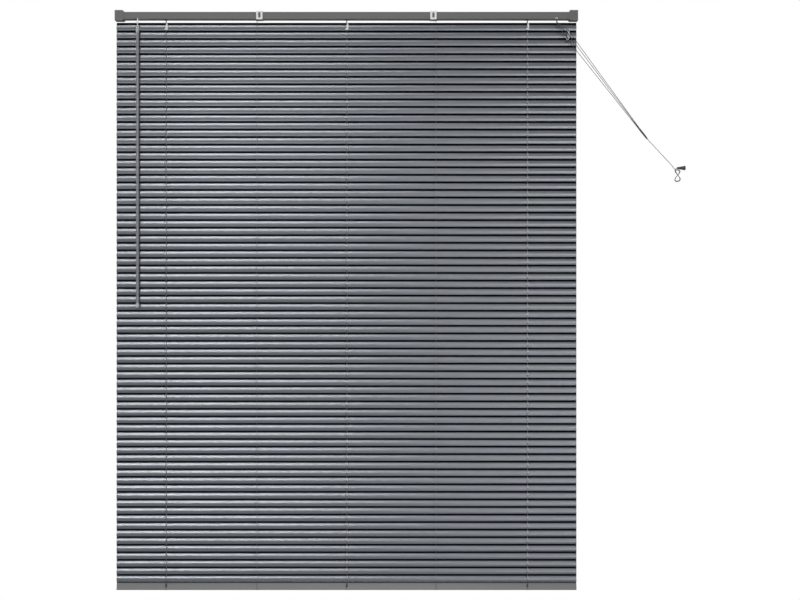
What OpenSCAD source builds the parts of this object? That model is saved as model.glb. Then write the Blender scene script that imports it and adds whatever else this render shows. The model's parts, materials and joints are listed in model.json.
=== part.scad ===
// Aluminium venetian blind with 25 mm slats, shown closed with the front edges down.
// The wall is the plane y = 0 and the room is on the -Y side.
// The origin is the centre of the four wall screws of the two end brackets.

/* [Blind] */
// Overall width over the end brackets
blind_w = 1400; // [1200:5:1600]
// Number of slats
slat_count = 74; // [40:1:80]
// Height from one slat to the next
slat_pitch = 22.86; // [22.4:0.02:23.2]

/* [Slats] */
// Width of a slat from edge to edge
slat_w = 25; // [24.8:0.1:26]
// Thickness of the aluminium strip
slat_t = 0.2; // [0.18:0.01:0.3]
// Height of the crown over the edges
slat_crown = 2; // [1.6:0.1:2.4]
// Angle of the closed slats from level
slat_tilt = 76; // [74:0.5:78]
// Distance of the slat ends inside the outer faces of the end brackets
slat_inset = 3.5; // [3:0.5:10]
// Gap from the head rail down to the first slat
slat_gap = 7.7; // [6:0.1:12]
// Length of a rout slot across the slat
rout_l = 8; // [7:0.5:12]
// Width of a rout slot
rout_w = 5; // [4:0.5:7]

/* [Ladders and cords] */
// Distance of the outer ladders from the slat ends
ladder_inset = 149.5; // [100:0.5:200]
// Place of the inner ladders, as a share of the way to the outer ones
inner_share = 0.496; // [0.4:0.002:0.6]
// Thickness of a ladder's two cords
ladder_d = 1; // [0.8:0.1:1.2]
// Thickness of a rung
rung_d = 0.8; // [0.6:0.1:1]
// Thickness of the lift cords and the pull cords
cord_d = 1.4; // [1.2:0.1:1.6]
// Sideways distance of a lift cord from its ladder
lift_side = 1.6; // [1.4:0.1:2]

/* [Head rail] */
// Depth of the head rail
rail_d = 25; // [24:0.5:26]
// Height of the head rail
rail_h = 22.4; // [22:0.2:24]
// Thickness of the rail's sheet
rail_t = 0.8; // [0.6:0.1:1]
// Width of the lips along the open top
rail_lip = 4; // [3:0.5:5]
// Radius of the lower edges
rail_r = 2; // [1.5:0.5:3]
// Gap from the wall to the back of the rail
wall_gap = 3.2; // [2.8:0.1:4]
// Thickness of the flange on a rail cap
cap_flange = 1.5; // [1:0.1:2]
// Depth of a rail cap's plug
cap_plug = 8; // [6:1:12]

/* [End brackets] */
// Width of an end bracket
bracket_w = 27.5; // [26:0.5:30]
// Height of an end bracket
bracket_h = 31.2; // [30:0.2:33]
// Thickness of its sheet
bracket_t = 1.2; // [1:0.1:1.5]
// Distance from the bracket's top down to the rail's top
rail_under = 5.8; // [5.6:0.1:6.4]
// Radius of the screw holes
screw_r = 2.25; // [2:0.25:2.5]
// Distance between the two screw holes in a bracket's plates
screw_pitch = 14; // [12:0.5:15]
// Radius of the cover's hinge pin
hinge_pin_r = 0.8; // [0.7:0.05:0.9]
// Corner cut of the cover
cover_cut = 3.5; // [2.5:0.5:4.5]

/* [Support clips] */
// Distance of a support clip from the middle
clip_x = 263; // [240:1:300]
// Width of a support clip
clip_w = 19; // [16:1:22]
// Thickness of a support clip
clip_t = 1.5; // [1.3:0.1:1.7]
// Width of the slot in its front leg
clip_slot_w = 7; // [5:0.5:8]
// Height of that slot
clip_slot_h = 16.5; // [14:0.5:18]
// Thickness of the clip's hooks under the rail
clip_hook_t = 0.8; // [0.7:0.1:1]

/* [Tilt shaft] */
// Height of the tilt rod's axis over the brackets' screws
rod_z = 1; // [0.5:0.1:1.5]
// Radius of the hexagonal tilt rod over its corners
rod_r = 3; // [2.8:0.1:3.2]
// Radius of a tilt drum's barrel
drum_r = 5; // [4.8:0.1:5.2]
// Radius of a drum's flanges
flange_r = 7; // [6.6:0.1:7.2]
// Width of the barrel between the flanges
drum_w = 10; // [8:0.5:12]
// Radius of a drum's journals
journal_r = 4.2; // [4:0.1:4.3]
// Width of a cradle's bearing wall
cradle_wall = 3; // [2.5:0.5:4]

/* [Tilter] */
// Distance of the tilter from the blind's left end
tilter_inset = 69; // [60:1:75]
// Lean of the worm's axis towards the room
worm_lean = 14; // [13:0.5:15]
// Distance from the tilt rod's axis to the worm's axis
worm_gap = 7.6; // [7.5:0.05:7.7]
// Middle radius of the worm's thread
worm_r = 2.4; // [2.35:0.05:2.45]
// Half depth of the worm's thread
worm_e = 0.7; // [0.6:0.05:0.75]
// Number of teeth of the worm gear
gear_teeth = 12; // [12:1:12]
// Radius of the worm's stem
stem_r = 1.4; // [1.3:0.1:1.5]
// Length of the tilter housing along the rail
tilter_w = 22; // [20:1:26]

/* [Wand] */
// Radius of the link's wire
wire_r = 0.6; // [0.55:0.05:0.65]
// Distance between the link's two bars
link_h = 10; // [9:0.5:12]
// Radius of the wand's connector sleeve
sleeve_r = 5.3; // [5.1:0.1:5.8]
// Length of the connector sleeve
sleeve_h = 20; // [16:1:26]
// Radius of the six-sided wand over its corners
wand_r = 4.6; // [4.2:0.1:4.7]
// Length of the wand
wand_l = 846; // [500:1:1000]
// Length of the tip on the wand's end
tip_h = 14; // [10:1:20]

/* [Cord lock] */
// Distance of the cord outlet from the blind's right end
lock_inset = 65; // [60:1:70]
// Length of the lock's housing along the rail
lock_w = 44; // [40:1:46]
// Radius of the pulley in the lock
pulley_r = 3.6; // [3.4:0.1:3.7]
// Radius of the knurled locking roller
roller_r = 3; // [2.8:0.1:3.1]
// Travel of the locking roller
roller_travel = 4; // [3:0.5:4]

/* [Bottom rail] */
// Width of the bottom rail
bottom_w = 25; // [24:0.5:26]
// Thickness of the bottom rail
bottom_h = 10; // [9:0.5:10.5]
// Thickness of its sheet
bottom_t = 0.8; // [0.6:0.1:1]
// Distance from the last slat's middle to the bottom rail's middle
bottom_drop = 26.4; // [25.5:0.1:27]

/* [Cord cleat] */
// Distance of the cleat from the cord outlet
cleat_out = 367; // [320:1:420]
// Depth of the cleat under the origin
cleat_drop = 483; // [440:1:530]
// Length of the cleat over its horns
cleat_l = 53; // [50:1:56]

/* [Hidden] */

// Colours of the pieces.
steel_grey = [0.36, 0.37, 0.38];
slat_grey = [0.55, 0.57, 0.6];
dark_grey = [0.24, 0.25, 0.26];
zinc = [0.66, 0.67, 0.69];
clear = [0.84, 0.87, 0.88, 0.6];
white = [0.94, 0.94, 0.93];
cord_grey = [0.5, 0.51, 0.53];

// Play of a turning fit, gap between pieces that pass each other, and play of a fixed fit.
play = 0.06;
pass_gap = 0.3;
fixed_gap = 0.03;
// What a cut adds beyond the piece that it goes through.
over = 1;

// Rail and bracket levels.
bracket_top = bracket_h / 2;
rail_top = bracket_top - rail_under;
rail_bottom = rail_top - rail_h;
rail_y = -(wall_gap + rail_d / 2);
rail_front = rail_y - rail_d / 2;
rail_back = -wall_gap;
rail_floor = rail_bottom + rail_t;
bracket_depth = -rail_front + 0.4;
cover_back = bracket_depth + pass_gap;
cover_front = cover_back + bracket_t;
knuckle_r = bracket_t + pass_gap;
hinge_y = -(cover_front - knuckle_r);
hinge_z = bracket_top - knuckle_r;
bracket_end = bracket_w - cover_cut;
rail_inset = bracket_t + 0.8 + cap_flange;
rail_l = blind_w - 2 * rail_inset;
bracket_hole_u = 13;
notch_d = 4.5;

// Slats and ladders.
slat_l = blind_w - 2 * slat_inset;
slat_top_z = rail_bottom - slat_gap - slat_w / 2 * sin(slat_tilt);
arc_r = (slat_w * slat_w / 4 + slat_crown * slat_crown) / (2 * slat_crown);
arc_half = asin(slat_w / 2 / arc_r);
arc_steps = 6;
ladder_x = slat_l / 2 - ladder_inset;
station_x = [-1, -inner_share, 0, inner_share, 1] * ladder_x;
lift_stations = [0, 2, 4];
slat_reach = arc_r + slat_t / 2 - (arc_r - slat_crown) * sin(slat_tilt);
cord_y = slat_reach + ladder_d / 2 + 0.02;
rung_n = -(slat_t / 2 + rung_d / 2 + 0.05);
drum_cord_y = drum_r + pass_gap + ladder_d / 2;
ladder_join_z = slat_top_z + slat_w / 2 + 2.5;
lift_y = rail_y - 1.5;

// Bottom rail, lying against the ladder's front cord. Its face has the larger corners.
bottom_z = slat_top_z - (slat_count - 1) * slat_pitch - bottom_drop;
bottom_a = bottom_w / 2;
bottom_b = bottom_h / 2;
face_r = 3;
under_r = 1.5;
face_corner = [bottom_a - face_r, bottom_b - face_r];
under_corner = [bottom_a - under_r, -bottom_b + under_r];
face_reach = face_corner[0] * cos(slat_tilt) + face_corner[1] * sin(slat_tilt) + face_r;
bottom_y = rail_y - cord_y + ladder_d / 2 + 0.02 + face_reach;
bottom_l = slat_l - 2;
lift_hole_w = 5.5;
lift_hole_l = 10;
plug_w = 16;
plug_l = 9;
plug_h = 2;

// Drums and cradles.
flange_t = 1;
journal_w = cradle_wall + 0.5;
cradle_in = drum_w / 2 + flange_t + pass_gap;
cradle_half = journal_r + 2.3;
cradle_base_t = 1.6;

// Worm and gear.
tilter_x = blind_w / 2 - tilter_inset;
gear_out = worm_gap - worm_r + worm_e - pass_gap;
gear_root = worm_gap - worm_r - worm_e - pass_gap;
gear_mid = worm_gap - worm_r;
thread_lead = 2 * PI * gear_mid / gear_teeth;
thread_h = 8;
stem_top = thread_h / 2 + 2.2;
gear_w = 2;
worm_y = rail_y - worm_gap * cos(worm_lean);
worm_z = rod_z + worm_gap * sin(worm_lean);
stem_end = 23.5;
stem_out_z = worm_z - (worm_y - stem_r / cos(worm_lean) - rail_front - rail_t) / tan(worm_lean);
eye_y = worm_y - stem_end * sin(worm_lean);
eye_z = worm_z - stem_end * cos(worm_lean);
bar_z = eye_z - link_h;
sleeve_top = bar_z - 3;
wand_top = sleeve_top - 4;
wand_bottom = wand_top - wand_l;

// Cord lock.
lock_x = blind_w / 2 - lock_inset;
lock_left = lock_x - lock_w / 2;
pulley_x = lock_x - 8;
pulley_z = rail_floor + 5.1;
wrap_step = 40;
wrap_from = 115;
wrap_to = -5;
wrap_r = (pulley_r + pass_gap + cord_d / 2) / cos(wrap_step / 2);
roller_x = pulley_x - 5.5;
roller_z = pulley_z + pulley_r + roller_r + 0.4;
roller_lean = 30;
lock_front = rail_front + rail_t + 0.1;
lock_web = rail_y - 4;
lock_wall = 1.2;
outlet_r = 2.2;
bead_r = 3.3;
outlet_z = rail_bottom + 2.2;
exit_y = rail_front - 1.4;

// Places of the three cords in the outlet, and of the lanes that they run in along the rail.
exits = [[-0.75, -0.5], [0.75, -0.5], [0, 0.8]];
lane_z = rail_floor + 2.6;
lane_step = 1.8;

// A lift cord's route: up from the bottom rail, along the head rail, over the pulley and out.
function lift_route(k) =
    let (x = station_x[lift_stations[k]] + lift_side, lane = rail_front + 3 + k * lane_step)
    [
        [x, bottom_y - 1, bottom_z - 3], [x, bottom_y - 3.4, bottom_z + 0.6], [x, lift_y, bottom_z + 9],
        [x, lift_y, rail_bottom - 0.6], [x + 1.8, lift_y - 0.8, lane_z - 0.3], [x + 6, lift_y - 2.2, lane_z],
        [x + 24, lane, lane_z], [pulley_x - 14, lane, lane_z],
        for (a = [wrap_from:-wrap_step:wrap_to])
            [pulley_x + wrap_r * cos(a), lane, pulley_z + wrap_r * sin(a)],
        [lock_x + exits[k][0], rail_front + 2, outlet_z + exits[k][1]],
        [lock_x + exits[k][0], exit_y, outlet_z + exits[k][1]]
    ];

// Free cords, as points chosen by hand: the upper ones from the outlet, and the others from the cleat.
outlet_at = [lock_x, 0, 0];
cleat_at = [lock_x + cleat_out, 0, -cleat_drop];
pull_points = [
    [[2.4, -32, -13.6], [32.2, -36.4, -44.6], [35.3, -34, -47.5], [39.2, -31.6, -52.2]],
    [[1.6, -32, -15], [32.8, -36.4, -57], [35.9, -34, -60.5], [39.4, -31.6, -65]],
    [[-0.6, -32, -14.2], [29.6, -36.4, -68.6], [32.5, -34, -72.6], [35.8, -31.6, -77.4]]
];
eye_step = 2;
joiner_a = cleat_at + [-116.6, -22, 141];
joiner_b = cleat_at + [-90.6, -20.4, 108.6];
joiner_step = [1.16, 0, 0.93];
tassel_at = cleat_at + [-2.6, -24.4, 21.2];
single_start = [[-54, -19, 69.5], [-16, -15, 29.6], [-8.5, -13, 20.4]];
single_end = [[-5.5, -29, 7], [-7, -26.4, 14], [-6, -24.6, 19.6]];

function outlet_point(k) = [lock_x + exits[k][0], exit_y, outlet_z + exits[k][1]];

// Route of a pull cord: its exit, its points, and its place in the joiner above or below the middle one.
function pull_route(exit, cord) = [
    outlet_point(exit),
    for (p = pull_points[cord]) outlet_at + p,
    joiner_a + (1 - cord) * joiner_step
];

// Figure of eight round the cleat: each turn lies outside and in front of the one before.
eight_x = 6.2;
eight_z = 16.2;
eight_step = 36;
eight_start = 108;
eight_turned = 612;
turn_gap = 1.6;
behind_horn = 8.8;
before_horn = 12.6;

function eight(turned) =
    let (a = eight_start - turned, grown = turn_gap * turned / 360)
    cleat_at + [
        (eight_x + grown) * sin(2 * a),
        -(behind_horn + (before_horn + 2 * grown) * abs(cos(a))),
        (eight_z + grown) * sin(a)
    ];

single_route = concat(
    [joiner_b],
    [for (p = single_start) cleat_at + p],
    [for (turned = [0:eight_step:eight_turned]) eight(turned)],
    [for (p = single_end) cleat_at + p],
    [tassel_at]
);

// Points along an arc in the drawing plane.
function arc(centre, r, from, to, steps) =
    [for (k = [0:steps]) let (a = from + (to - from) * k / steps) centre + r * [cos(a), sin(a)]];

// Place in the section of a tilted piece: t runs down its chord to the room, n points up and to the room.
function tilted(t, n) = [-t * cos(slat_tilt) - n * sin(slat_tilt), -t * sin(slat_tilt) + n * cos(slat_tilt)];

function slat_z(k) = slat_top_z - k * slat_pitch;

// Tube with eight sides along a route: a ring at each point, square to the route there.
function unit(v) = v / norm(v);
function heading(route, k) =
    unit(route[min(k + 1, len(route) - 1)] - route[max(k - 1, 0)]);
function side_of(d) = unit(cross(d, abs(d[1]) > 0.9 ? [1, 0, 0] : [0, 1, 0]));
function ring(route, k, r) =
    let (d = heading(route, k), a = side_of(d), b = cross(d, a))
    [for (j = [0:7]) route[k] + r * (cos(j * 45 + 22.5) * a + sin(j * 45 + 22.5) * b)];

module tube(route, d) {
    n = len(route);
    points = [for (k = [0:n - 1]) each ring(route, k, d / 2)];
    first = [[for (j = [0:7]) j]];
    last = [[for (j = [7:-1:0]) (n - 1) * 8 + j]];
    walls = [for (k = [0:n - 2]) for (j = [0:7]) each [
        [k * 8 + j, k * 8 + 8 + j, k * 8 + 8 + (j + 1) % 8],
        [k * 8 + j, k * 8 + 8 + (j + 1) % 8, k * 8 + (j + 1) % 8]
    ]];
    polyhedron(points = points, faces = concat(first, walls, last));
}

// Section drawn in y and z, carried along x over a length about x = 0.
module along_x(length) {
    rotate([90, 0, 90])
        linear_extrude(height = length, center = true)
            children();
}

// Round bar or hole along x between two places.
module bar_x(r, from, to, y, z) {
    translate([from, y, z])
        rotate([0, 90, 0])
            cylinder(r = r, h = to - from, $fn = 48);
}

// Round bar or hole along y between two places.
module bar_y(r, from, to, x, z) {
    translate([x, to, z])
        rotate([90, 0, 0])
            cylinder(r = r, h = to - from, $fn = 48);
}

// Box between two corners.
module block(low, high) {
    translate(low)
        cube(high - low);
}

// Right-hand piece, as the mirror of the left-hand one.
module mirrored() {
    mirror([1, 0, 0])
        children();
}

// Head rail: a roll-formed channel, open at the top, with lips turned in.
module rail_section() {
    a = rail_d / 2;
    b = rail_h / 2;
    in_r = rail_r - rail_t;
    translate([rail_y, rail_top - b])
        polygon(concat(
            arc([-a + rail_r, -b + rail_r], rail_r, 180, 270, 4),
            arc([a - rail_r, -b + rail_r], rail_r, 270, 360, 4),
            [[a, b], [a - rail_lip, b], [a - rail_lip, b - rail_t], [a - rail_t, b - rail_t]],
            arc([a - rail_r, -b + rail_r], in_r, 360, 270, 4),
            arc([-a + rail_r, -b + rail_r], in_r, 270, 180, 4),
            [[-a + rail_t, b - rail_t], [-a + rail_lip, b - rail_t], [-a + rail_lip, b], [-a, b]]
        ));
}

// Notch in the rail's lower front edge.
module corner_notch(x, half, top) {
    block([x - half, rail_front - over, rail_bottom - over], [x + half, rail_front + notch_d, top]);
}

module head_rail() {
    opening_x = 6;
    opening_y = 7;
    color(steel_grey)
        difference() {
            along_x(rail_l)
                rail_section();
            for (x = station_x)
                block([x - opening_x, rail_y - opening_y, rail_bottom - over],
                    [x + opening_x, rail_y + opening_y, rail_floor + over]);
            corner_notch(-tilter_x, stem_r + 0.8, stem_out_z + 0.6);
            corner_notch(lock_x, outlet_r + fixed_gap, outlet_z + outlet_r + fixed_gap);
        }
}

// Rail cap: a moulded plug with a flange that stands on the bracket's floor.
module rail_cap_left() {
    end = -rail_l / 2;
    plug_a = rail_d / 2 - rail_t - 0.1;
    low = rail_floor + 0.05;
    high = rail_top - rail_t - 1.6;
    wall = 1.5;
    color(dark_grey) {
        block([end - cap_flange, rail_front, -bracket_top + bracket_t], [end, rail_back, rail_top]);
        translate([end + cap_plug / 2, rail_y, 0])
            along_x(cap_plug)
                difference() {
                    polygon([
                        [-plug_a + rail_r, low], [plug_a - rail_r, low], [plug_a, low + rail_r],
                        [plug_a, high], [-plug_a, high], [-plug_a, low + rail_r]
                    ]);
                    translate([-plug_a + wall, low + rail_r])
                        square([2 * (plug_a - wall), high - low - rail_r - wall]);
                }
    }
}

module rail_cap_right() mirrored() rail_cap_left();

// Cuts that keep a housing clear of the rail's two rounded lower edges.
module edge_relief(from, to) {
    for (y = [rail_front + rail_t, rail_back - rail_t])
        block([from - over, y - rail_r, rail_floor - over], [to + over, y + rail_r, rail_floor + rail_r]);
}

// Section of the bracket's folded walls: outer side, floor, and top with a flange turned down.
module bracket_walls() {
    b = bracket_top;
    t = bracket_t;
    e = bracket_end;
    flange_z = rail_top + 0.5;
    polygon([
        [0, -b], [e, -b], [e, -b + t], [t, -b + t], [t, b - t],
        [e - t, b - t], [e - t, flange_z], [e, flange_z], [e, b], [0, b]
    ]);
}

module bracket_left() {
    b = bracket_top;
    t = bracket_t;
    ear_low = b - 4.6;
    color(steel_grey)
        translate([-blind_w / 2, 0, 0])
            difference() {
                union() {
                    rotate([90, 0, 0])
                        linear_extrude(height = bracket_depth)
                            bracket_walls();
                    rotate([90, 0, 0])
                        linear_extrude(height = t)
                            polygon([
                                [0, -b], [bracket_end, -b], [bracket_w, -b + cover_cut],
                                [bracket_w, b - cover_cut], [bracket_end, b], [0, b]
                            ]);
                    for (u = [0, bracket_end - t])
                        block([u, -cover_front, ear_low], [u + t, -bracket_depth + 1, b]);
                }
                block([t, -cover_front - over, b - t - over],
                    [bracket_end - t, hinge_y + knuckle_r + pass_gap, b + over]);
                bar_x(hinge_pin_r + fixed_gap, -over, bracket_w + over, hinge_y, hinge_z);
                for (z = [-screw_pitch / 2, screw_pitch / 2])
                    bar_y(screw_r, -t - over, over, bracket_hole_u, z);
                for (side = [-1, 1])
                    translate([bracket_hole_u, rail_y + side * screw_pitch / 2 + 3, b - t - over])
                        cylinder(r = screw_r, h = t + 2 * over, $fn = 48);
            }
}

module bracket_right() mirrored() bracket_left();

// Cover: a plate with a pressed panel, curled round the hinge pin along its top.
module cover_left() {
    b = bracket_top;
    low_in = bracket_t + pass_gap;
    high_in = bracket_end - bracket_t - pass_gap;
    shoulder = b - 5.3;
    panel_d = 0.4;
    color(steel_grey)
        translate([-blind_w / 2, 0, 0])
            difference() {
                union() {
                    translate([0, -cover_back, 0])
                        rotate([90, 0, 0])
                            linear_extrude(height = bracket_t)
                                polygon([
                                    [1.5, -b], [bracket_end, -b], [bracket_w, -b + cover_cut],
                                    [bracket_w, shoulder - 1.5], [bracket_w - 1.5, shoulder],
                                    [high_in, shoulder], [high_in, hinge_z], [low_in, hinge_z],
                                    [low_in, shoulder],
                                    [0, shoulder], [0, -b + 1.5]
                                ]);
                    bar_x(knuckle_r, low_in, high_in, hinge_y, hinge_z);
                }
                bar_x(hinge_pin_r + play, 0, bracket_w, hinge_y, hinge_z);
                translate([0, -cover_front + panel_d, 0])
                    rotate([90, 0, 0])
                        linear_extrude(height = panel_d + over)
                            polygon([
                                [8, -9.5], [17.5, -9.5], [17.5, -4], [14.5, -4], [14.5, -6.5],
                                [11, -6.5], [11, 4.5], [17.5, 4.5], [17.5, 8], [8, 8]
                            ]);
            }
}

module cover_right() mirrored() cover_left();

module hinge_pin() {
    bar_x(hinge_pin_r, -blind_w / 2, -blind_w / 2 + bracket_end, hinge_y, hinge_z);
}

module hinge_pins() {
    color(zinc) {
        hinge_pin();
        mirrored() hinge_pin();
    }
}

// Support clip: a strap that goes over the rail, with hooks under its two lower edges.
module support_clip(x) {
    t = clip_t;
    hook_z = rail_bottom - clip_hook_t;
    top_z = bracket_top - 3;
    hook_l = 3;
    mid_z = rail_top - rail_h / 2;
    slot_r = clip_slot_w / 2;
    slot_low = mid_z + 1.8 - clip_slot_h / 2 + slot_r;
    color(white)
        translate([x, 0, 0])
            difference() {
                along_x(clip_w)
                    polygon([
                        [0, top_z], [rail_front - t, top_z], [rail_front - t, hook_z + 1],
                        [rail_front - t + 1, hook_z], [rail_front + hook_l, hook_z],
                        [rail_front + hook_l, rail_bottom], [rail_front, rail_bottom],
                        [rail_front, top_z - t], [-t, top_z - t], [-t, rail_bottom],
                        [rail_back - hook_l, rail_bottom], [rail_back - hook_l, hook_z], [0, hook_z]
                    ]);
                bar_y(slot_r, rail_front - t - over, rail_front + over, 0, slot_low);
                bar_y(slot_r, rail_front - t - over, rail_front + over, 0,
                    slot_low + clip_slot_h - clip_slot_w);
                block([-slot_r, rail_front - t - over, slot_low],
                    [slot_r, rail_front + over, slot_low + clip_slot_h - clip_slot_w]);
                bar_y(screw_r, -t - over, over, 0, 0);
                translate([0, rail_y, top_z - t - over])
                    cylinder(r = screw_r, h = t + 2 * over, $fn = 48);
            }
}

module support_clip_left() support_clip(-clip_x);
module support_clip_right() support_clip(clip_x);

// Tilt rod: drawn hexagonal bar through the gear and the five drums.
module tilt_rod() {
    from = -tilter_x - 14;
    to = ladder_x + 14;
    color(zinc)
        translate([from, rail_y, rod_z])
            rotate([0, 90, 0])
                cylinder(r = rod_r, h = to - from, $fn = 6);
}

module rod_hole(from, to) {
    translate([from, rail_y, rod_z])
        rotate([0, 90, 0])
            cylinder(r = rod_r + fixed_gap, h = to - from, $fn = 6);
}

// Tilt drum: a spool for one ladder, with a journal at each end.
module tilt_drum(x) {
    half = drum_w / 2;
    out = half + flange_t;
    end = out + pass_gap + journal_w;
    color(white)
        difference() {
            union() {
                bar_x(drum_r, x - out, x + out, rail_y, rod_z);
                for (side = [-1, 1])
                    bar_x(flange_r, x + side * (half + flange_t / 2) - flange_t / 2,
                        x + side * (half + flange_t / 2) + flange_t / 2, rail_y, rod_z);
                bar_x(journal_r, x - end, x + end, rail_y, rod_z);
            }
            rod_hole(x - end - over, x + end + over);
        }
}

// Drum cradle: two bearing walls on a base that sits over the rail's opening.
module drum_cradle(x) {
    out = cradle_in + cradle_wall;
    floor_z = rail_floor + cradle_base_t;
    color(dark_grey)
        difference() {
            union() {
                block([x - out - 4, rail_y - 8, rail_floor], [x + out + 4, rail_y + 8, floor_z]);
                for (side = [-1, 1])
                    translate([x + side * (cradle_in + cradle_wall / 2), 0, 0])
                        along_x(cradle_wall)
                            polygon([
                                [rail_y - cradle_half, rail_floor], [rail_y + cradle_half, rail_floor],
                                [rail_y + cradle_half, rod_z + 3], [rail_y + cradle_half - 1.5, rod_z + 4.5],
                                [rail_y - cradle_half + 1.5, rod_z + 4.5], [rail_y - cradle_half, rod_z + 3]
                            ]);
            }
            block([x - 5.5, rail_y - 6, rail_floor - over], [x + 5.5, rail_y + 6, floor_z + over]);
            bar_x(journal_r + play, x - out - over, x + out + over, rail_y, rod_z);
            block([x - out - over, rail_y - 3.2, rod_z], [x + out + over, rail_y + 3.2, rod_z + 8]);
            block([x - out - over, lift_y - 5, floor_z], [x + out + over, lift_y + 2.4, floor_z + 3]);
        }
}

module tilt_drum_1() tilt_drum(station_x[0]);
module tilt_drum_2() tilt_drum(station_x[1]);
module tilt_drum_3() tilt_drum(station_x[2]);
module tilt_drum_4() tilt_drum(station_x[3]);
module tilt_drum_5() tilt_drum(station_x[4]);
module drum_cradle_1() drum_cradle(station_x[0]);
module drum_cradle_2() drum_cradle(station_x[1]);
module drum_cradle_3() drum_cradle(station_x[2]);
module drum_cradle_4() drum_cradle(station_x[3]);
module drum_cradle_5() drum_cradle(station_x[4]);

// The worm's own frame: its axis is +Z, leaning down to the room, and the gear is on its -Y side.
module worm_frame() {
    translate([-tilter_x, worm_y, worm_z])
        rotate([180 - worm_lean, 0, 0])
            children();
}

// Worm gear: twelve teeth between the turns of the worm.
module tilter_gear() {
    pitch_angle = 360 / gear_teeth;
    color(white)
        difference() {
            union() {
                translate([-tilter_x, 0, 0])
                    along_x(gear_w)
                        translate([rail_y, rod_z])
                            rotate(180 - worm_lean)
                                polygon([for (k = [0:gear_teeth - 1]) each [
                                    for (p = [[gear_root, -8.5], [gear_mid, -3.6], [gear_out, -1.3],
                                        [gear_out, 1.3], [gear_mid, 3.6], [gear_root, 8.5]])
                                        p[0] * [cos(k * pitch_angle + p[1]), sin(k * pitch_angle + p[1])]
                                ]]);
                bar_x(gear_root - 0.2, -tilter_x - 9, -tilter_x + 9, rail_y, rod_z);
            }
            rod_hole(-tilter_x - 10, -tilter_x + 10);
        }
}

// Worm: an off-centre round carried up a screw line makes one smooth thread.
module tilter_worm() {
    turns = thread_h / thread_lead;
    color(white)
        worm_frame()
            difference() {
                union() {
                    rotate([0, 0, 180 + turns * 180])
                        linear_extrude(height = thread_h, center = true, twist = turns * 360, slices = 30)
                            translate([0, -worm_e])
                                circle(r = worm_r, $fn = 16);
                    translate([0, 0, -stem_top])
                        cylinder(r = stem_r, h = stem_top + stem_end - 3, $fn = 24);
                    translate([-1.5, -1.8, stem_end - 5])
                        cube([3, 3.6, 6.8]);
                }
                translate([-5, 0, stem_end])
                    rotate([0, 90, 0])
                        cylinder(r = wire_r + play, h = 10, $fn = 32);
            }
}

// Tilter housing: a closed block round the worm and its gear, with a bearing for each.
module tilter_housing() {
    half = tilter_w / 2;
    front = rail_front + rail_t + 0.1;
    back = rail_back - rail_t - 0.1;
    color(dark_grey)
        difference() {
            block([-tilter_x - half, front, rail_floor + 0.1], [-tilter_x + half, back, rod_z + 8]);
            bar_x(gear_out + pass_gap, -tilter_x - gear_w / 2 - pass_gap, -tilter_x + gear_w / 2 + pass_gap,
                rail_y, rod_z);
            bar_x(gear_root - 0.2 + play, -tilter_x - half - over, -tilter_x + half + over, rail_y, rod_z);
            worm_frame() {
                cylinder(r = worm_r + worm_e + pass_gap, h = thread_h + 2 * pass_gap, center = true,
                    $fn = 48);
                translate([0, 0, -stem_top - over])
                    cylinder(r = stem_r + play, h = stem_end, $fn = 48);
            }
            edge_relief(-tilter_x - half, -tilter_x + half);
        }
}

// Link between stem and wand: a bar along x in the stem's eye, and one along y in the wand's.
module wand_link() {
    mid_z = eye_z - link_h / 2;
    leg = 2.5;
    leg_r = wire_r - 0.08;
    color(zinc) {
        bar_x(wire_r, -tilter_x - leg - 1, -tilter_x + leg + 1, eye_y, eye_z);
        bar_y(wire_r, eye_y - leg - 1, eye_y + leg + 1, -tilter_x, bar_z);
        for (side = [-1, 1]) {
            translate([-tilter_x + side * leg, eye_y, mid_z])
                cylinder(r = leg_r, h = link_h / 2, $fn = 24);
            translate([-tilter_x, eye_y + side * leg, bar_z])
                cylinder(r = leg_r, h = link_h / 2, $fn = 24);
        }
        translate([-tilter_x, eye_y, mid_z - 0.6])
            cylinder(r = leg + 1.2, h = 1.2, $fn = 32);
    }
}

// Connector: a clear sleeve with a tongue that the link passes through.
module wand_connector() {
    color(clear)
        difference() {
            union() {
                translate([-tilter_x, eye_y, sleeve_top - sleeve_h])
                    cylinder(r = sleeve_r, h = sleeve_h, $fn = 48);
                block([-tilter_x - 1.8, eye_y - 1.3, sleeve_top - over],
                    [-tilter_x + 1.8, eye_y + 1.3, bar_z + 2]);
            }
            bar_y(wire_r + play, eye_y - 5, eye_y + 5, -tilter_x, bar_z);
            translate([-tilter_x, eye_y, sleeve_top - sleeve_h - over])
                cylinder(r = wand_r + fixed_gap, h = sleeve_h - 4 + over, $fn = 6);
        }
}

module wand_rod() {
    color(zinc)
        translate([-tilter_x, eye_y, wand_bottom])
            cylinder(r = wand_r, h = wand_l, $fn = 6);
}

// Tip: a moulded cap on the wand's lower end.
module wand_tip() {
    color(clear)
        difference() {
            translate([-tilter_x, eye_y, wand_bottom - 1.5])
                rotate_extrude($fn = 48)
                    polygon([
                        [0, 0], [wand_r - 0.4, 0], [wand_r + 0.8, 1.4], [wand_r + 0.8, tip_h - 2],
                        [wand_r + 0.3, tip_h], [0, tip_h]
                    ]);
            translate([-tilter_x, eye_y, wand_bottom])
                cylinder(r = wand_r + fixed_gap, h = tip_h + over, $fn = 6);
        }
}

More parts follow.
